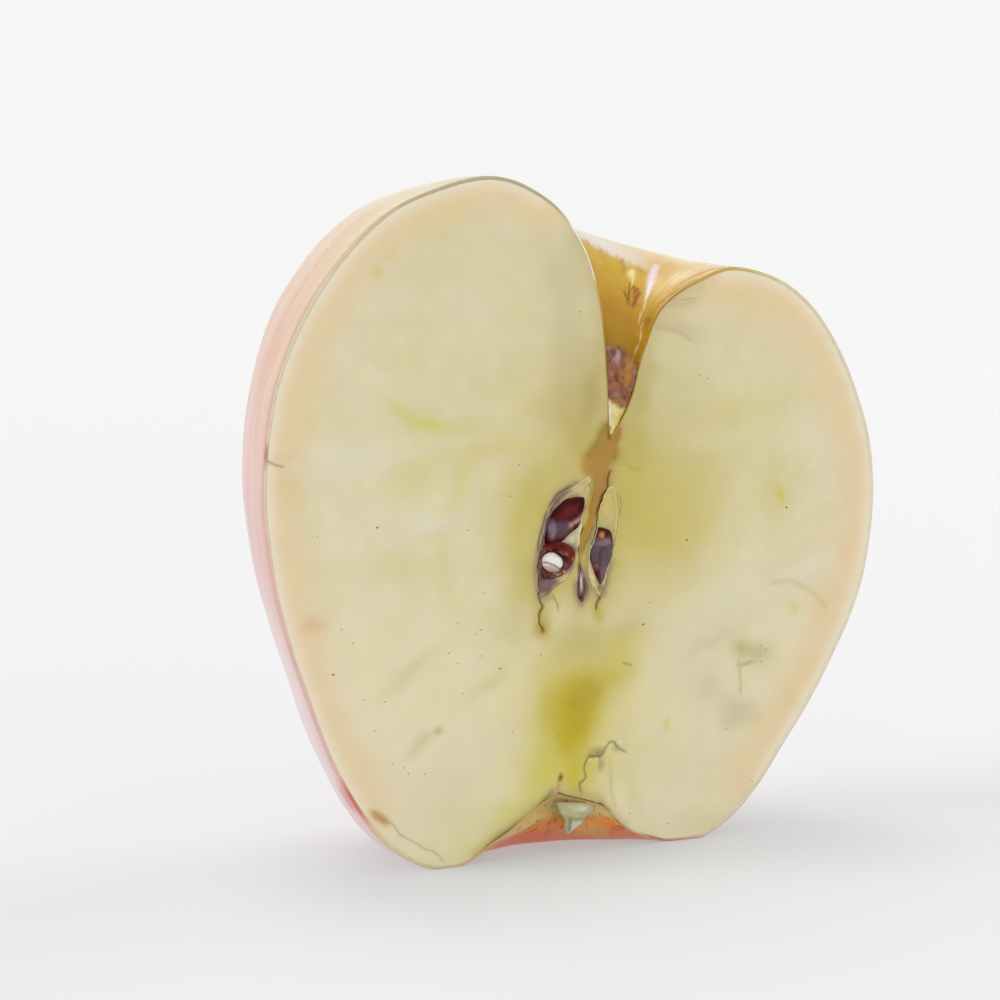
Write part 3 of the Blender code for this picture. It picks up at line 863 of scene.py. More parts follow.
def knife_block():
    """Everything behind the knife's path: a block whose front is the wavy face that it left."""
    bm = bmesh.new()
    bmesh.ops.create_grid(bm, x_segments=KNIFE_COLUMNS, y_segments=KNIFE_ROWS, size=1)
    # The columns crowd towards the core, where the detail is.
    across = np.array([vert.co.x for vert in bm.verts])
    x = KNIFE_MIDDLE[0] + KNIFE_REACH[0] * across * (0.5 + 0.5 * across**2)
    z = np.array([KNIFE_MIDDLE[1] + KNIFE_REACH[1] * vert.co.y for vert in bm.verts])
    for vert, place in zip(bm.verts, zip(x, knife_depth(x, z), z)):
        vert.co = place
    rim = [edge for edge in bm.edges if edge.is_boundary]
    made = bmesh.ops.extrude_edge_only(bm, edges=rim)["geom"]
    for vert in made:
        if isinstance(vert, bmesh.types.BMVert):
            vert.co.y = KNIFE_BACK
    bmesh.ops.edgeloop_fill(bm, edges=[edge for edge in bm.edges if edge.is_boundary])
    bmesh.ops.recalc_face_normals(bm, faces=bm.faces)
    return bm


def chamber(name, front=CUTTER_FRONT):
    """The hollow of one chamber: its outline pushed back in steps that narrow to a blunt end."""
    outline, depth = CHAMBERS[name]
    spans = len(outline)
    bm = bmesh.new()
    for step in range(4 * spans):
        corner, quarter = divmod(step, 4)
        rows = [Vector(outline[(corner + shift) % spans]) for shift in (-1, 0, 1, 2)]
        point = spline(rows, (1 + quarter / 4) / 3)
        ragged = noise.noise_vector(Vector((point.x, 4.5, point.y)) * 1.6) * MOUTH_RAGGED
        bm.verts.new((point.x + ragged.x, front, point.y + ragged.z))
    middle = sum((vert.co for vert in bm.verts), Vector()) / len(bm.verts)
    mouth = face = bm.faces.new(bm.verts)
    wide = 1.0
    for share, narrow in CHAMBER_STEPS:
        if share * depth <= front:
            continue
        made = bmesh.ops.extrude_face_region(bm, geom=[face])["geom"]
        if face != mouth:
            bmesh.ops.delete(bm, geom=[face], context="FACES_ONLY")
        face = next(item for item in made if isinstance(item, bmesh.types.BMFace))
        for vert in face.verts:
            reach = (vert.co - middle) * (narrow / wide)
            vert.co = (middle.x + reach.x, share * depth, middle.z + reach.z)
        wide = narrow
    return bm


def fruit_body():
    """The fruit inside the peel, carried on in front of the knife's path."""
    bm = peel_sheet(BODY_ROWS, BODY_COLUMNS, PEEL_LUMPS)
    depths = peel_depths(bm)
    bm.normal_update()
    for vert in bm.verts:
        vert.co -= vert.normal * (depths[vert] - PROUD_OF_FLESH)
        vert.co.y = 0 if vert.is_boundary else max(vert.co.y, 0)
    rim = [edge for edge in bm.edges if edge.is_boundary]
    made = bmesh.ops.extrude_edge_only(bm, edges=rim)["geom"]
    front = [item for item in made if isinstance(item, bmesh.types.BMVert)]
    bmesh.ops.translate(bm, vec=(0, BODY_FRONT, 0), verts=front)
    bmesh.ops.edgeloop_fill(bm, edges=[edge for edge in bm.edges if edge.is_boundary])
    bmesh.ops.recalc_face_normals(bm, faces=bm.faces)
    return bm


def carve(piece, bm, operation):
    """Cuts a finished piece with a closed mesh in the core's millimetres."""
    bmesh.ops.recalc_face_normals(bm, faces=bm.faces)
    to_frame(bm)
    tool = bpy.data.objects.new("tool", bpy.data.meshes.new("tool"))
    bm.to_mesh(tool.data)
    bm.free()
    bpy.context.scene.collection.objects.link(tool)
    cut = piece.modifiers.new("cut", "BOOLEAN")
    cut.operation = operation
    cut.solver = "MANIFOLD"
    cut.object = tool
    graph = bpy.context.evaluated_depsgraph_get()
    piece.data = bpy.data.meshes.new_from_object(piece.evaluated_get(graph))
    piece.modifiers.clear()
    bpy.data.objects.remove(tool)


def paint_flesh(piece):
    """Tints the cut face, from the broad drifts to the marks, and keeps its cracks for the material."""
    x, y, z = core_places(piece)
    layer = np.tile(np.array(colour("e1d6b1")), (len(x), 1))
    mottle = ripple(x, z, 6.0, 21.5) + 0.5 * ripple(x, z, 2.6, 22.5)
    tint(layer, "e8dec0", np.clip(mottle, 0, 1) * 0.8)
    tint(layer, "dacd9e", np.clip(-mottle, 0, 1) * 0.7)
    tint(layer, "ded394", np.clip(ripple(x, z, 4.4, 25.5), 0, 1) * 0.5)
    tint(layer, "efe5c4", 0.45 / (1 + np.exp((z - 26) / 4)))
    tint(layer, "ebe3ca", np.clip(ripple(x, z, 1.5, 27.5) - 0.1, 0, 1) * 0.5)
    wander_x, wander_z = wander(x, z, 0.9, 2.6, 31.5)
    for *place, shade, strength in STAINS:
        # The smaller a stain, the nearer it keeps to its place.
        reach = min(min(place[2:4]) / 1.2, 1)
        near_x = x + (wander_x - x) * reach
        near_z = z + (wander_z - z) * reach
        tint(layer, shade, strength * oval(near_x, near_z, *place))
    # The rim took up the most air and turned peach. The paler line right under the peel is a painted
    # highlight, where the flesh rounds over to the skin.
    rim = edge_distance(x, z, CHEEKS)
    wide = 1 + 0.4 * ripple(x, z, 7.0, 35.5) + 0.35 * (x > 0)
    tint(layer, "e8d0a6", 0.85 * fade(rim - 1.6, 2.3 * wide))
    tint(layer, "f4e8d0", 0.90 * fade(rim, 1.1))
    tint(layer, "c8b478", 0.60 * fade(edge_distance(x, z, HOLLOW), 1.3))
    tint(layer, "bcae6c", 0.75 * fade(edge_distance(x, z, BASIN), 0.8))
    # Each chamber has a yellow halo and a browned edge, darker on its left side.
    ragged_x = x + 0.15 * ripple(x, z, 0.6, 37.5)
    for ring, _ in CHAMBERS.values():
        tint(layer, "c2b05a", 0.60 * fade(line_distance(wander_x, z, ring + ring[:1]), 1.6))
        tint(layer, "8f7a68", 0.75 * fade(line_distance(ragged_x, z, ring[2:14]), 0.48))
        tint(layer, "c6b268", 0.60 * fade(line_distance(ragged_x, z, ring[13:] + ring[:2]), 0.30))
    vein_x, vein_z, vein_width = zip(*CORE_VEIN)
    fine_x = x + 0.25 * ripple(x, z, 0.8, 41.5)
    across = line_distance(fine_x, z, list(zip(vein_x, vein_z)))
    across /= np.interp(z, vein_z[::-1], vein_width[::-1]) / 2
    tint(layer, "a88a34", 0.65 * fade(across, 1.25, 3))
    tint(layer, "ac8232", 0.85 * fade(across, 0.90, 3))
    for points, width, shade, strength in VEIN_LINES:
        tint(layer, shade, strength * fade(line_distance(fine_x, z, points), width))
    crack_x, crack_z = wander(x, z, *CRACK_WANDER)
    for *place, shade, strength in BLOTS:
        tint(layer, shade, strength * oval(crack_x, crack_z, *place, hard=2))
    # A crack is finer than the mesh, so its side and its colour are kept for the material.
    crack = np.full(len(x), FAR_FROM_CRACKS)
    crack_layer = np.zeros((len(x), 4))
    for points, width, _, shade, strength in CRACKS:
        near = side_of(crack_x, crack_z, points)
        tint(layer, shade, 0.35 * strength * fade(near, width + 0.1))
        closer = abs(near / width) < abs(crack)
        crack[closer] = near[closer] / width
        crack_layer[closer] = colour(shade)
        crack_layer[closer, 3] = strength * fade(near[closer], 0.6, 4)
    store_amount(piece, crack, "crack")
    store_tint(piece, crack_layer, "crack_tint")
    # Inside the chambers the walls are browner the deeper they go.
    tint(layer, "a08a50", np.clip((y - 0.9) / 1.2, 0, 1) * 0.8)
    store_tint(piece, layer)


def cut_flesh():
    """Cut apple flesh, wet cells with air between them: matt, faintly see-through and mealy."""
    material, shader = new_material(
        "cut_flesh",
        Roughness=0.55,
        Specular_IOR_Level=0.25,
        Subsurface_Weight=0.15,
        Subsurface_Radius=(1.0, 0.7, 0.35),
        Subsurface_Scale=0.0012,
    )
    place = node(material, "TexCoord").outputs["Object"]
    shade = node(material, "Attribute", attribute_name="tint").outputs["Color"]
    # Cells are a quarter of a millimetre across, in drifts of two or three.
    cells = node(material, "TexNoise", {"Vector": place}, Scale=4000.0, Detail=2.0)
    drifts = node(material, "TexNoise", {"Vector": place}, Scale=420.0, Detail=3.0)
    lift = node(material, "MapRange", {"Value": drifts.outputs["Fac"]}, From_Min=0.3, From_Max=0.7)
    lift.inputs["To Min"].default_value = 0.985
    lift.inputs["To Max"].default_value = 1.015
    brightness = node(material, "VectorMath", {0: shade, "Scale": lift.outputs[0]}, operation="SCALE")
    # The cracks, dark in the middle and soft at both sides.
    side = node(material, "Attribute", attribute_name="crack").outputs["Fac"]
    away = node(material, "Math", {0: side}, operation="ABSOLUTE").outputs[0]
    inside = node(material, "MapRange", {"Value": away}, From_Min=1.0, From_Max=0.3)
    crack = node(material, "Attribute", attribute_name="crack_tint")
    amount = node(material, "Math", {0: inside.outputs[0], 1: crack.outputs["Alpha"]}, operation="MULTIPLY")
    cracked = node(
        material,
        "MixRGB",
        {"Fac": amount.outputs[0], "Color1": brightness.outputs[0], "Color2": crack.outputs["Color"]},
    )
    material.node_tree.links.new(cracked.outputs["Color"], shader.inputs["Base Color"])
    bump = node(material, "Bump", {"Height": cells.outputs["Fac"]}, Strength=0.12, Distance=0.0001)
    material.node_tree.links.new(bump.outputs[0], shader.inputs["Normal"])
    return material


flesh = add_piece(fruit_body(), "flesh", cut_flesh())
carve(flesh, knife_block(), "INTERSECT")
for name in CHAMBERS:
    carve(flesh, chamber(name), "DIFFERENCE")
paint_flesh(flesh)
flesh.data.shade_smooth()
flesh.data.set_sharp_from_angle(angle=math.radians(50))
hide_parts("apple_half")

# ------------------------------------------------------------------------------------------
# Chamber walls. Each seed chamber is lined with the tough parchment of its carpel, a glossy
# shell under a tenth of a millimetre thick, grown in the flesh and torn at the edge by the knife.
# ------------------------------------------------------------------------------------------

LINING_THICKNESS = 0.06
LINING_FRONT = 0.28
LINING_LIP = LINING_FRONT + 0.01  # everything in front of this is the torn edge
LINING_GAP = 0.12  # how far the lining stands off the flesh, how uneven it is and how torn
LINING_UNEVEN = 0.08
LINING_TORN = 0.15


def lining(name):
    """The wall of a chamber as an open bowl with a ragged edge, thickened inwards."""
    bm = chamber(name, front=LINING_FRONT)
    bmesh.ops.recalc_face_normals(bm, faces=bm.faces)
    front = [face for face in bm.faces if max(vert.co.y for vert in face.verts) < LINING_LIP]
    bmesh.ops.delete(bm, geom=front, context="FACES")
    bmesh.ops.remove_doubles(bm, verts=bm.verts, dist=0.01)
    bmesh.ops.subdivide_edges(bm, edges=bm.edges, cuts=2, use_grid_fill=True)
    bm.normal_update()
    for vert in bm.verts:
        torn = vert.co.y < LINING_LIP
        vert.co -= (LINING_GAP + LINING_UNEVEN * noise.noise(vert.co * 1.3)) * vert.normal
        if torn:
            vert.co.y = LINING_FRONT + LINING_TORN * noise.noise(vert.co * 1.7)
    thicken(bm, dict.fromkeys(bm.verts, LINING_THICKNESS))
    return bm


def tinted(name, roughness, specular, gloss, grain, uneven, bump):
    """A finish whose colours, and how glossy each place is, are kept on the piece."""
    material, shader = new_material(name, Roughness=roughness, Specular_IOR_Level=specular)
    own = node(material, "Attribute", attribute_name="tint")
    place = node(material, "TexCoord").outputs["Object"]
    rough = node(material, "TexNoise", {"Vector": place}, Scale=1 / (grain * MM), Detail=3.0)
    lift = node(material, "MapRange", {"Value": rough.outputs["Fac"]}, From_Min=0.3, From_Max=0.7)
    lift.inputs["To Min"].default_value = 1 - uneven
    lift.inputs["To Max"].default_value = 1 + uneven
    own_colour = own.outputs["Color"]
    shade = node(material, "VectorMath", {0: own_colour, "Scale": lift.outputs[0]}, operation="SCALE")
    material.node_tree.links.new(shade.outputs[0], shader.inputs["Base Color"])
    height = node(material, "Bump", {"Height": rough.outputs["Fac"]}, Strength=bump)
    height.inputs["Distance"].default_value = 0.1 * MM
    material.node_tree.links.new(height.outputs[0], shader.inputs["Normal"])
    if gloss:
        coat = node(material, "Math", {0: own.outputs["Alpha"]}, operation="MULTIPLY")
        coat.inputs[1].default_value = gloss
        material.node_tree.links.new(coat.outputs[0], shader.inputs["Coat Weight"])
        shader.inputs["Coat Roughness"].default_value = 0.12
    return material


def paint(piece, ground, blots, lines=()):
    """Tints a small piece: a ground colour, then blots and lines at places on the cut face."""
    x, _, z = core_places(piece)
    layer = np.tile(np.array(colour(ground)), (len(x), 1))
    x, z = wander(x, z, 0.10, 0.5, 51.5)
    for *place, shade, strength in blots:
        tint(layer, shade, strength * oval(x, z, *place, hard=2))
    for points, width, shade, strength in lines:
        tint(layer, shade, strength * fade(line_distance(x, z, points), width))
    store_tint(piece, layer)


# Carpel parchment, dry and smooth like horn: cream where it is clean, mauve where it aged.
parchment = tinted(
    "carpel_parchment", roughness=0.45, specular=0.3, gloss=0.3, grain=0.6, uneven=0.06, bump=0.3
)
LINING_STAINS = {
    "left": (
        "d6c894",
        (
            (-1.7, 37.0, 1.3, 1.0, 40, "dfcf94", 0.95),
            (-4.4, 36.2, 1.8, 0.7, 42, "8a7468", 0.90),
            (-5.8, 34.4, 0.8, 1.6, -24, "6e5050", 0.90),
            (-4.6, 29.4, 1.6, 1.0, 0, "5b2c1a", 1.00),
            (-3.7, 29.8, 0.8, 0.8, 0, "5b2c1a", 1.00),
            (-1.2, 36.0, 0.5, 1.4, 0, "dccb90", 0.90),
            (-2.5, 32.4, 0.7, 1.6, -20, "fff6c8", 0.95),
            (-5.0, 35.6, 0.7, 0.9, -40, "8c7270", 0.85),
            (-6.0, 32.6, 0.8, 2.0, -14, "7c5c64", 0.95),
            (-6.8, 29.8, 0.5, 2.2, 0, "6e4a50", 0.90),
            (-2.9, 30.8, 0.7, 0.7, 30, "8e7478", 0.90),
            (-3.0, 29.0, 0.8, 0.7, 30, "a88c88", 0.90),
            (-5.9, 27.6, 1.4, 1.7, 10, "744e4e", 0.95),
            (-5.2, 27.6, 0.8, 0.6, 20, "8a6672", 0.90),
            (-6.9, 27.4, 0.3, 1.4, 0, "6a4840", 0.80),
            (-4.6, 27.0, 1.0, 0.4, 35, "bda474", 0.85),
        ),
    ),
    "right": (
        "dcd094",
        (
            (1.2, 34.8, 1.5, 3.2, -8, "d8c67c", 0.95),
            (1.0, 34.0, 0.14, 1.4, -4, "cabf84", 0.60),
            (1.2, 30.6, 1.0, 1.6, -10, "8a6e74", 0.60),
            (-0.6, 28.2, 0.6, 1.3, 0, "ece0b0", 0.95),
            (0.6, 26.7, 0.3, 0.8, 0, "8a6c60", 0.80),
        ),
    ),
    "middle": (
        "8a6a58",
        (
            # A painted highlight: the lilac-white streak of reflected light, carried onto the wall.
            (-1.9, 27.6, 0.4, 1.0, 0, "c9b8ba", 0.90),
            (-2.0, 25.9, 0.6, 0.6, 0, "6d3c34", 0.90),
        ),
    ),
}
for name, (ground, stains) in LINING_STAINS.items():
    wall = add_piece(lining(name), "carpel_wall_" + name, parchment)
    paint(wall, ground, stains)

# ------------------------------------------------------------------------------------------
# Pips. Four show: two whole ones in glossy maroon coats, one that the knife opened down to
# its white kernel, and the tip of a fourth. Each is a flattened drop, pointed at one end.
# ------------------------------------------------------------------------------------------


KEEL = 0.12  # how far the blunt keel down each side of a pip stands out, as a share of its width
FLATTENED = 0.85  # how much of what stands past a facet is pressed in
PIP_LUMPS = ((0.14, 0.8), (0.03, 3))  # how high, and how many to the millimetre
COAT_THICKNESS = 0.25
COAT_RAGGED = 0.2


def drop(point, blunt, width, thickness, depth, taper, facets=()):
    """A pip lying between two places on the cut face, its middle set back by depth.

    It is nearly flat where it touched its neighbours: each facet is a place and a lean."""
    bm = bmesh.new()
    bmesh.ops.create_uvsphere(bm, u_segments=80, v_segments=60, radius=0.5)
    low, high = (Vector((x, 0, z)) for x, z in (point, blunt))
    for vert in bm.verts:
        share = 1 + taper * 2 * vert.co.z
        keel = 1 + KEEL * math.cos(2 * math.atan2(vert.co.y, vert.co.x)) ** 4
        vert.co.x *= width * share * keel
        vert.co.y *= thickness * share * keel
    axis = high - low
    bmesh.ops.scale(bm, vec=(1, 1, axis.length), verts=bm.verts)
    turn = Matrix.Rotation(math.atan2(axis.x, axis.z), 4, "Y")
    bmesh.ops.transform(bm, matrix=turn, verts=bm.verts)
    bmesh.ops.translate(bm, vec=(low + high) / 2 + Vector((0, depth, 0)), verts=bm.verts)
    for x, z, lean in facets:
        outward = Vector((math.sin(math.radians(lean)), 0, math.cos(math.radians(lean))))
        for vert in bm.verts:
            past = max((vert.co - Vector((x, 0, z))).dot(outward), 0)
            vert.co -= FLATTENED * past * outward
    for vert in bm.verts:
        lumps = [height * noise.noise_vector(vert.co * many) for height, many in PIP_LUMPS]
        vert.co += sum(lumps, Vector())
    return bm


# The pip's coat: a hard, polished brown skin that mirrors the light along its back. Much of that sheen, and
# its highlights and glints, are painted into the coat's colours.
pip_coat = tinted("pip_coat", roughness=0.5, specular=0.05, gloss=0.5, grain=0.4, uneven=0.15, bump=0.2)
# The kernel: firm, white and waxy, like a peeled almond.
kernel_skin = tinted("pip_kernel", roughness=0.5, specular=0.3, gloss=0, grain=0.5, uneven=0.03, bump=0.1)

PIPS = {
    "pip_left_upper": (
        ((-5.55, 31.6), (-0.95, 36.1), 3.3, 1.8, 1.05, 0.14)
        + (((-2.2, 35.9, -8), (-4.0, 35.2, -40), (-2.0, 33.1, 141)),),
        "4a0f1020",
        (
            # Painted light: a lighter red where light falls on the top of the coat.
            (-3.2, 34.7, 1.5, 0.5, 30, "64161880", 0.80),
            (-1.8, 35.2, 0.45, 0.8, 0, "30080800", 0.80),
            (-2.2, 35.7, 0.9, 0.25, 20, "36101000", 0.80),
            # A painted sheen: the plum grey of light reflected off the flattened facet, paler at its end.
            (-4.1, 32.9, 1.40, 0.85, 6, "563e46ff", 1.00),
            (-5.1, 32.9, 0.40, 1.0, 0, "86707cff", 0.90),
            (-2.4, 33.1, 0.9, 0.35, 45, "3a140e00", 0.80),
            (-4.3, 31.7, 0.5, 0.3, 0, "5a201c00", 0.80),
        ),
        (
            # A painted highlight: a pink streak of reflected light along the lower edge.
            (((-3.1, 33.3), (-2.2, 33.7), (-1.3, 34.4)), 0.28, "b98680", 0.95),
            (((-1.3, 34.1), (-2.3, 33.3), (-3.0, 32.7), (-3.8, 32.2)), 0.12, "4a2a16", 0.90),
        ),
    ),
    "pip_right": (
        ((0.90, 26.1), (1.05, 32.9), 2.75, 1.7, 1.00, 0.56, ((0.3, 28.1, -112),)),
        # The plum grey ground is a painted sheen of reflected light over the dark coat.
        "5c464eff",
        (
            (1.0, 32.45, 1.4, 0.62, 0, "42160e20", 1.00),
            (0.62, 32.20, 0.28, 0.34, -20, "c87e28", 0.95),
            # A paler plum band: more painted sheen.
            (0.9, 31.45, 1.0, 0.34, 12, "806a74", 0.90),
            (-0.75, 29.7, 0.35, 0.7, 0, "36202400", 0.90),
            (1.9, 31.9, 0.35, 0.5, 0, "4a1c1400", 0.80),
            (0.30, 28.0, 0.30, 0.70, 0, "5c111620", 0.95),
            # Painted sheen in plum on the lower half.
            (0.85, 28.3, 0.34, 0.90, 0, "7c5c62", 0.80),
            (0.1, 29.0, 0.20, 0.20, 0, "a05840", 0.70),
        ),
        ((((0.9, 30.9), (0.3, 30.3), (0.3, 29.2)), 0.12, "44282e", 0.80),),
    ),
    "pip_middle": (
        ((-2.05, 29.4), (-1.75, 25.6), 1.0, 0.9, 0.58, 0.30),
        "705048",
        (
            # A painted highlight: a lilac-white streak of reflected light down the middle.
            (-1.85, 27.5, 0.22, 0.85, 0, "d2c4cc", 0.95),
            (-1.35, 27.0, 0.20, 0.90, 0, "9a8488", 0.80),
            (-1.85, 25.8, 0.50, 0.40, 0, "6a281c00", 0.90),
            (-2.2, 27.6, 0.16, 1.40, 0, "4e281c00", 0.80),
        ),
        (),
    ),
}
for name, (sizes, ground, blots, lines) in PIPS.items():
    pip = add_piece(drop(*sizes), name + "_coat", pip_coat)
    paint(pip, ground, blots, lines)
    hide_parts(name)


def opened_coat():
    """The cut pip's coat: a drop with its front left taken off and a ragged edge."""
    bm = drop((-2.0, 29.9), (-6.7, 29.7), 3.3, 1.3, 0.85, taper=0.12)
    whole = bm.verts[:] + bm.edges[:] + bm.faces[:]
    plane = {"plane_co": (-5.0, 0.52, 29.3), "plane_no": (-0.16, -1, -0.10)}
    bmesh.ops.bisect_plane(bm, geom=whole, clear_outer=True, **plane)
    for vert in bm.verts:
        if vert.is_boundary:
            vert.co += COAT_RAGGED * noise.noise_vector(vert.co * 1.6)
    thicken(bm, dict.fromkeys(bm.verts, COAT_THICKNESS))
    return bm


coat = add_piece(opened_coat(), "pip_left_lower_coat", pip_coat)
paint(
    coat,
    "7a4034",
    (
        (-4.5, 31.2, 1.9, 0.50, -10, "5c0f1020", 1.00),
        (-2.9, 30.1, 0.9, 0.9, -40, "6c201810", 0.90),
        # Two painted glints: small orange highlights on the coat.
        (-2.7, 29.8, 0.22, 0.22, 0, "c8602c", 0.90),
        (-3.5, 30.4, 0.25, 0.16, 0, "b04a2c", 0.80),
        (-6.2, 29.4, 0.6, 0.9, 0, "8c5a54", 0.80),
        # Painted highlights in cream along the lower rim of the coat.
        (-4.4, 28.4, 0.32, 0.12, 0, "f0c496", 0.90),
        (-3.7, 28.6, 0.16, 0.12, 0, "e8b07c", 0.90),
    ),
)
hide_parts("pip_left_lower")
kernel = add_piece(drop((-3.85, 29.1), (-6.1, 30.1), 1.75, 1.0, 0.75, taper=0.05), "pip_kernel", kernel_skin)
paint(
    kernel,
    "f0ebe4",
    ((-5.1, 28.7, 1.5, 0.5, -15, "b89c94", 0.90),),
    ((((-6.0, 29.7), (-5.1, 29.3), (-4.1, 28.9)), 0.09, "7a5448", 0.90),),
)

# ------------------------------------------------------------------------------------------
# Stem stump. What is left of the woody stalk in the bottom of its hollow, split by the knife
# and broken off rough: rusty bark above, the pale pith of its root below.
# ------------------------------------------------------------------------------------------

STUMP_FOOT = 42.3
STUMP_TOP = 51.2
STUMP_STEP = 1.7  # how much lower the right side broke off than the left
STUMP_ROWS = 90
WALLS_FROM = 120  # the step along the edges of the cut from which they are the hollow's walls


def stump():
    """A stick that fills the hollow from wall to wall, flat where the knife split it."""
    walls = [
        ([z for _, z in reversed(side[WALLS_FROM:])], [x for x, _ in reversed(side[WALLS_FROM:])])
        for side in cut_edges()
    ]
    bm = bmesh.new()
    bmesh.ops.create_cone(bm, cap_ends=True, segments=64, radius1=1, radius2=1, depth=2)
    upright = [edge for edge in bm.edges if abs(edge.verts[0].co.z - edge.verts[1].co.z) > 1]
    bmesh.ops.subdivide_edges(bm, edges=upright, cuts=STUMP_ROWS, use_grid_fill=True)
    for vert in bm.verts:
        top = STUMP_TOP - STUMP_STEP / (1 + math.exp(-(vert.co.x - 0.3) * 6))
        top += 0.3 * noise.noise(Vector((vert.co.x * 4, vert.co.y * 4, 9.0)))
        height = STUMP_FOOT + (top - STUMP_FOOT) * (vert.co.z + 1) / 2
        low = np.interp(height, *walls[0])
        high = np.interp(height, *walls[1])
        reach = max((high - low) / 2 - 0.03, 0.1)
        rough = noise.noise(Vector((vert.co.x * 3, vert.co.y * 3, height * 1.4)))
        depth = max(vert.co.y * reach * 1.2, -0.02)
        front = 0.14 + 0.14 * max(rough, 0)
        vert.co = ((low + high) / 2 + vert.co.x * reach, front + depth, height)
    return bm


# Old bark and pith: matt, flaking, mottled from mauve to rust.
stalk = tinted("stem_wood", roughness=0.7, specular=0.3, gloss=0.15, grain=0.35, uneven=0.12, bump=0.7)
stem = add_piece(stump(), "stem_stump", stalk)


def paint_stump(piece):
    """Tints the stump: rust and mauve in patches above, pale pith below its broken line."""
    x, _, z = core_places(piece)
    layer = np.tile(np.array(colour("8a5a4240")), (len(x), 1))
    tint(layer, "7a443000", 0.80 * np.clip(ripple(x, z, 0.9, 3.5) * 2.2, 0, 1))
    tint(layer, "b08a7c", 0.55 * np.clip(-ripple(x, z, 0.8, 4.5) * 2.2, 0, 1))
    tint(layer, "a8683440", 0.70 * np.clip(ripple(x, z, 1.1, 8.5) * 2.2, 0, 1))
    tint(layer, "5a281800", 0.75 * np.clip(ripple(x, z, 0.4, 6.5) * 4 - 1.2, 0, 1))
    tint(layer, "c4a4a4", 0.60 * oval(x, z, 2.4, 50.2, 0.35, 0.8, 0, 2))
    tint(layer, "b08034", 0.80 * oval(x, z, 3.7, 48.8, 0.5, 1.8, -10, 2))
    tint(layer, "6a303000", 0.80 * oval(x, z, 1.8, 50.6, 0.4, 0.5, 0, 2))
    root = 1 / (1 + np.exp((z + 0.4 * (x - 2) + 0.4 * ripple(x, z, 0.8, 5.5) - 45.4) / 0.10))
    tint(layer, "e0d48a", root)
    tint(layer, "ecdfcc", 0.9 * root * oval(x, z, 1.25, 44.4, 0.42, 1.4, 0, 2))
    tint(layer, "c0a83c", 0.8 * root * oval(x, z, 2.9, 44.2, 0.35, 1.2, -30))
    tint(layer, "8a6a3400", 0.8 * root * oval(x, z, 1.45, 43.0, 0.16, 0.16, 0))
    store_tint(piece, layer)


paint_stump(stem)
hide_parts("stem_stub")

# ------------------------------------------------------------------------------------------
# Calyx. The dried sepals of the blossom, left at the foot of the core: stiff grey-green
# leaves a few millimetres long, pinched together and folded over each other.
# ------------------------------------------------------------------------------------------

# Each leaf: its left and its right edge from root to tip, as x, y and z, and its belly.
SEPALS = (
    (
        ((-4.5, 0.75, 5.2), (-4.4, 0.35, 4.3), (-3.7, 0.45, 3.4), (-3.4, 0.9, 2.3), (-2.75, 1.3, 1.65)),
        ((0.5, 0.80, 4.85), (-0.3, 0.45, 3.9), (-1.3, 0.45, 3.1), (-2.0, 0.9, 2.3), (-2.35, 1.3, 1.65)),
        0.25,
    ),
    (
        ((-4.3, 1.5, 5.0), (-4.2, 1.5, 4.6), (-4.0, 1.5, 4.3), (-3.7, 1.5, 4.0)),
        ((-2.4, 1.7, 4.9), (-2.8, 1.6, 4.6), (-3.2, 1.6, 4.3), (-3.6, 1.5, 4.0)),
        0.2,
    ),
    (
        ((-2.4, 1.9, 4.7), (-1.9, 1.9, 4.2), (-1.5, 1.9, 3.7), (-1.0, 1.9, 3.3)),
        ((0.5, 1.5, 4.4), (0.3, 1.6, 4.1), (-0.2, 1.7, 3.7), (-0.8, 1.8, 3.3)),
        0.2,
    ),
)
SEPAL_THICKNESS = 0.14
SEPAL_CRUMPLE = 0.16


def leaf(left, right, belly, thickness):
    """A dry leaf between its two edges, bellied forward and crumpled."""
    bm = bmesh.new()
    bmesh.ops.create_grid(bm, x_segments=18, y_segments=26, size=1)
    for vert in bm.verts:
        across, down = (vert.co.x + 1) / 2, (1 - vert.co.y) / 2
        place = spline(left, down).lerp(spline(right, down), across)
        place.y -= belly * math.sin(math.pi * across) * math.sin(math.pi * min(down + 0.1, 1))
        vert.co = place + SEPAL_CRUMPLE * noise.noise_vector(place * 0.9)
    thicken(bm, dict.fromkeys(bm.verts, thickness))
    return bm


def bunch(shapes, thickness):
    """Several leaves as one mesh."""
    together = bmesh.new()
    for shape in shapes:
        single = leaf(*shape, thickness)
        kept = bpy.data.meshes.new("leaf")
        single.to_mesh(kept)
        single.free()
        together.from_mesh(kept)
        bpy.data.meshes.remove(kept)
    return together


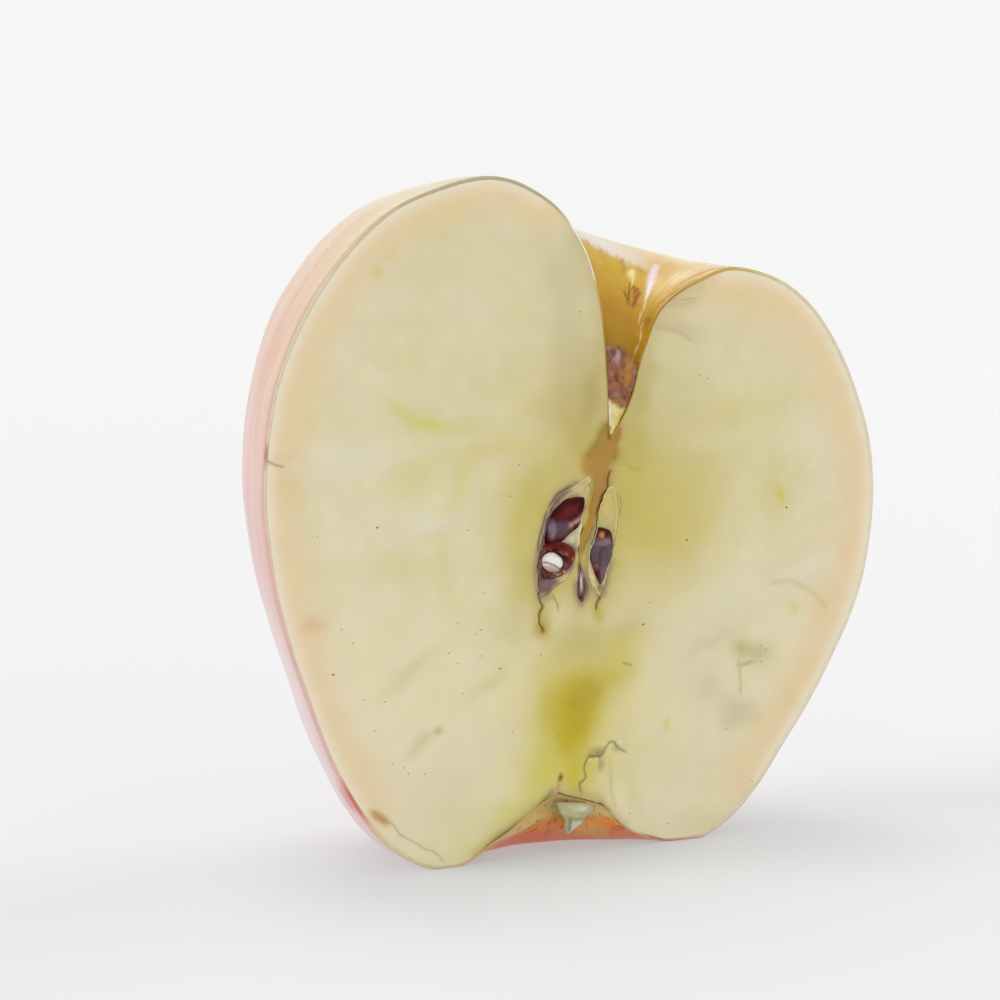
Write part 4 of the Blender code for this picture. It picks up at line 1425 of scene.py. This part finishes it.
# Dried sepal: papery, dull and downy, a grey green with bleached edges. Its whitish patches are partly that
# bleaching and partly a painted highlight, and the olive line across the leaf is a painted shade along its
# fold.
papery = tinted("dried_sepal", roughness=0.8, specular=0.2, gloss=0, grain=0.5, uneven=0.08, bump=0.5)
sepals = add_piece(bunch(SEPALS, SEPAL_THICKNESS), "dried_sepals", papery)
paint(
    sepals,
    "b8b48c",
    (
        # Whitish patches on the lower lobe and along the top: bleached leaf and a painted highlight both.
        (-2.2, 2.5, 0.9, 0.75, 0, "dedfd6", 0.95),
        (-1.6, 4.6, 1.9, 0.40, -4, "cfcdb0", 0.80),
        (-1.4, 4.45, 0.6, 0.25, 20, "dedccc", 0.80),
        (-3.6, 2.7, 0.30, 0.9, 20, "a89a6c", 0.80),
        (-4.6, 4.2, 0.5, 0.8, 0, "a89a72", 0.80),
        (0.4, 4.2, 0.5, 0.4, 0, "b09878", 0.80),
    ),
    (
        # A painted shade along the fold of the leaf.
        (((-3.2, 3.55), (-2.2, 3.35), (-0.7, 3.25)), 0.14, "9c925e", 0.90),
        (((-3.1, 3.4), (-3.0, 2.7), (-2.7, 2.1)), 0.16, "8c8250", 0.85),
    ),
)
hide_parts("calyx_sepals")

# ------------------------------------------------------------------------------------------
# Specks. Tiny dark points of dried juice and dust that the knife dragged over the wet face
# and left there, where they dried in.
# ------------------------------------------------------------------------------------------

SPECKS = (
    ((-24.9, 33.8), (-31.2, 33.2), (-9.2, 39.5), (-10.2, 36.4), (-14.9, 33.2), (-13.1, 26.9))
    + ((-16.1, 24.1), (-13.5, 23.3), (-14.0, 22.9), (-28.7, 24.2), (-27.5, 22.8), (-17.1, 21.2))
    + ((-16.1, 20.1), (-13.4, 20.7), (-11.3, 19.3), (-29.6, 19.9), (-26.3, 17.2), (-24.1, 16.9))
    + ((-15.5, 17.1), (5.6, 22.8), (6.4, 25.0), (20.5, 19.7), (21.1, 19.3), (20.5, 18.0))
    + ((16.0, 11.2), (19.3, 5.4), (8.6, 1.9), (-25.2, 14.2), (-23.2, 10.8), (-22.1, 10.3))
    + ((-19.8, 9.5), (-21.6, 9.7), (23.6, 34.3), (10.9, 31.3), (-9.9, 12.8), (-11.2, 19.3))
    + ((-6.6, 20.4), (-4.5, 12.2), (4.0, 3.4), (-2.1, 54.7), (12.4, 48.3), (13.4, 48.0))
)
BIG_SPECKS = ((23.6, 34.3), (5.6, 22.8), (10.9, 31.3), (-24.9, 33.8), (-29.6, 19.9))
SPECK_RADIUS = 0.075
BIG_SPECK_RADIUS = 0.13


def specks():
    """One flat crumb for each speck, resting in the face where the knife left it."""
    x = np.array([place[0] for place in SPECKS])
    z = np.array([place[1] for place in SPECKS])
    bm = bmesh.new()
    for place, depth in zip(SPECKS, knife_depth(x, z)):
        radius = BIG_SPECK_RADIUS if place in BIG_SPECKS else SPECK_RADIUS
        made = bmesh.ops.create_icosphere(bm, subdivisions=1, radius=radius)["verts"]
        bmesh.ops.scale(bm, vec=(1, 0.35, 0.8), verts=made)
        bmesh.ops.translate(bm, vec=(place[0], depth - 0.01, place[1]), verts=made)
    return bm


# Dried juice: dark olive brown and matt.
dried_juice, _ = new_material("dried_juice", Base_Color=colour("6a6038"), Roughness=0.8)
dots = add_piece(specks(), "specks", dried_juice)

# ------------------------------------------------------------------------------------------
# Studio. A white, evenly lit room with a pale, matt floor. Two broad, weak lamps light the
# apple and the floor, and three more, kept off the apple by flags, light the floor alone.
# ------------------------------------------------------------------------------------------

scene = bpy.context.scene
scene.view_settings.view_transform = "Standard"
world = bpy.data.worlds.new("studio")
scene.world = world
world.use_nodes = True
world.node_tree.nodes["Background"].inputs["Color"].default_value = colour("f6f6f6")

floor_mesh = bmesh.new()
bmesh.ops.create_grid(floor_mesh, x_segments=1, y_segments=1, size=30)
floor_data = bpy.data.meshes.new("floor")
floor_mesh.to_mesh(floor_data)
floor_mesh.free()
floor = bpy.data.objects.new("floor", floor_data)
scene.collection.objects.link(floor)
# Floor paint, matt. It glows a little, as a light table does, so that it stays white far off.
floor_paint, _ = new_material(
    "floor_paint",
    Base_Color=(0.20, 0.20, 0.20, 1),
    Emission_Color=(1, 1, 1, 1),
    Emission_Strength=0.384,
    Specular_IOR_Level=0.11,
    Roughness=0.8,
)
floor_data.materials.append(floor_paint)


def softbox(name, aim, strength, spread):
    """A lamp far off, which shines along aim and looks spread degrees wide."""
    lamp = bpy.data.objects.new(name, bpy.data.lights.new(name, "SUN"))
    lamp.data.angle = math.radians(spread)
    lamp.data.energy = strength
    lamp.rotation_euler = Vector(aim).to_track_quat("-Z", "Y").to_euler()
    scene.collection.objects.link(lamp)
    return lamp


# A broad fill from in front, and a lamp almost overhead, a little behind the cut face.
softbox("fill", (0.45, 0.75, -0.4), 0.20, 100)
softbox("top_light", (0.0, -0.25, -0.97), 1.00, 24)
# Two low lamps at the sides and one behind make the apple's shadow on the floor softer.
floor_only = bpy.data.collections.new("floor_only")
floor_only.objects.link(floor)
for name, aim, strength, spread in (
    ("left_floor_light", (0.9, -0.2, -0.4), 3.8, 30),
    ("right_floor_light", (-0.9, -0.2, -0.4), 2.4, 30),
    ("rear_floor_light", (0.0, -0.6, -0.8), 1.2, 40),
):
    softbox(name, aim, strength, spread).light_linking.receiver_collection = floor_only

camera = bpy.data.objects.new("camera", bpy.data.cameras.new("camera"))
scene.collection.objects.link(camera)
scene.camera = camera
camera.data.lens = 85
camera.data.sensor_width = 36
heading = math.radians(29.618)
pitch = math.radians(3.2725)
eye = Vector((-126.39, -202.26, 49.376))
camera.location = (eye + CORE_TO_FRAME) * MM
camera.rotation_euler = (math.pi / 2 - pitch, 0, -heading)
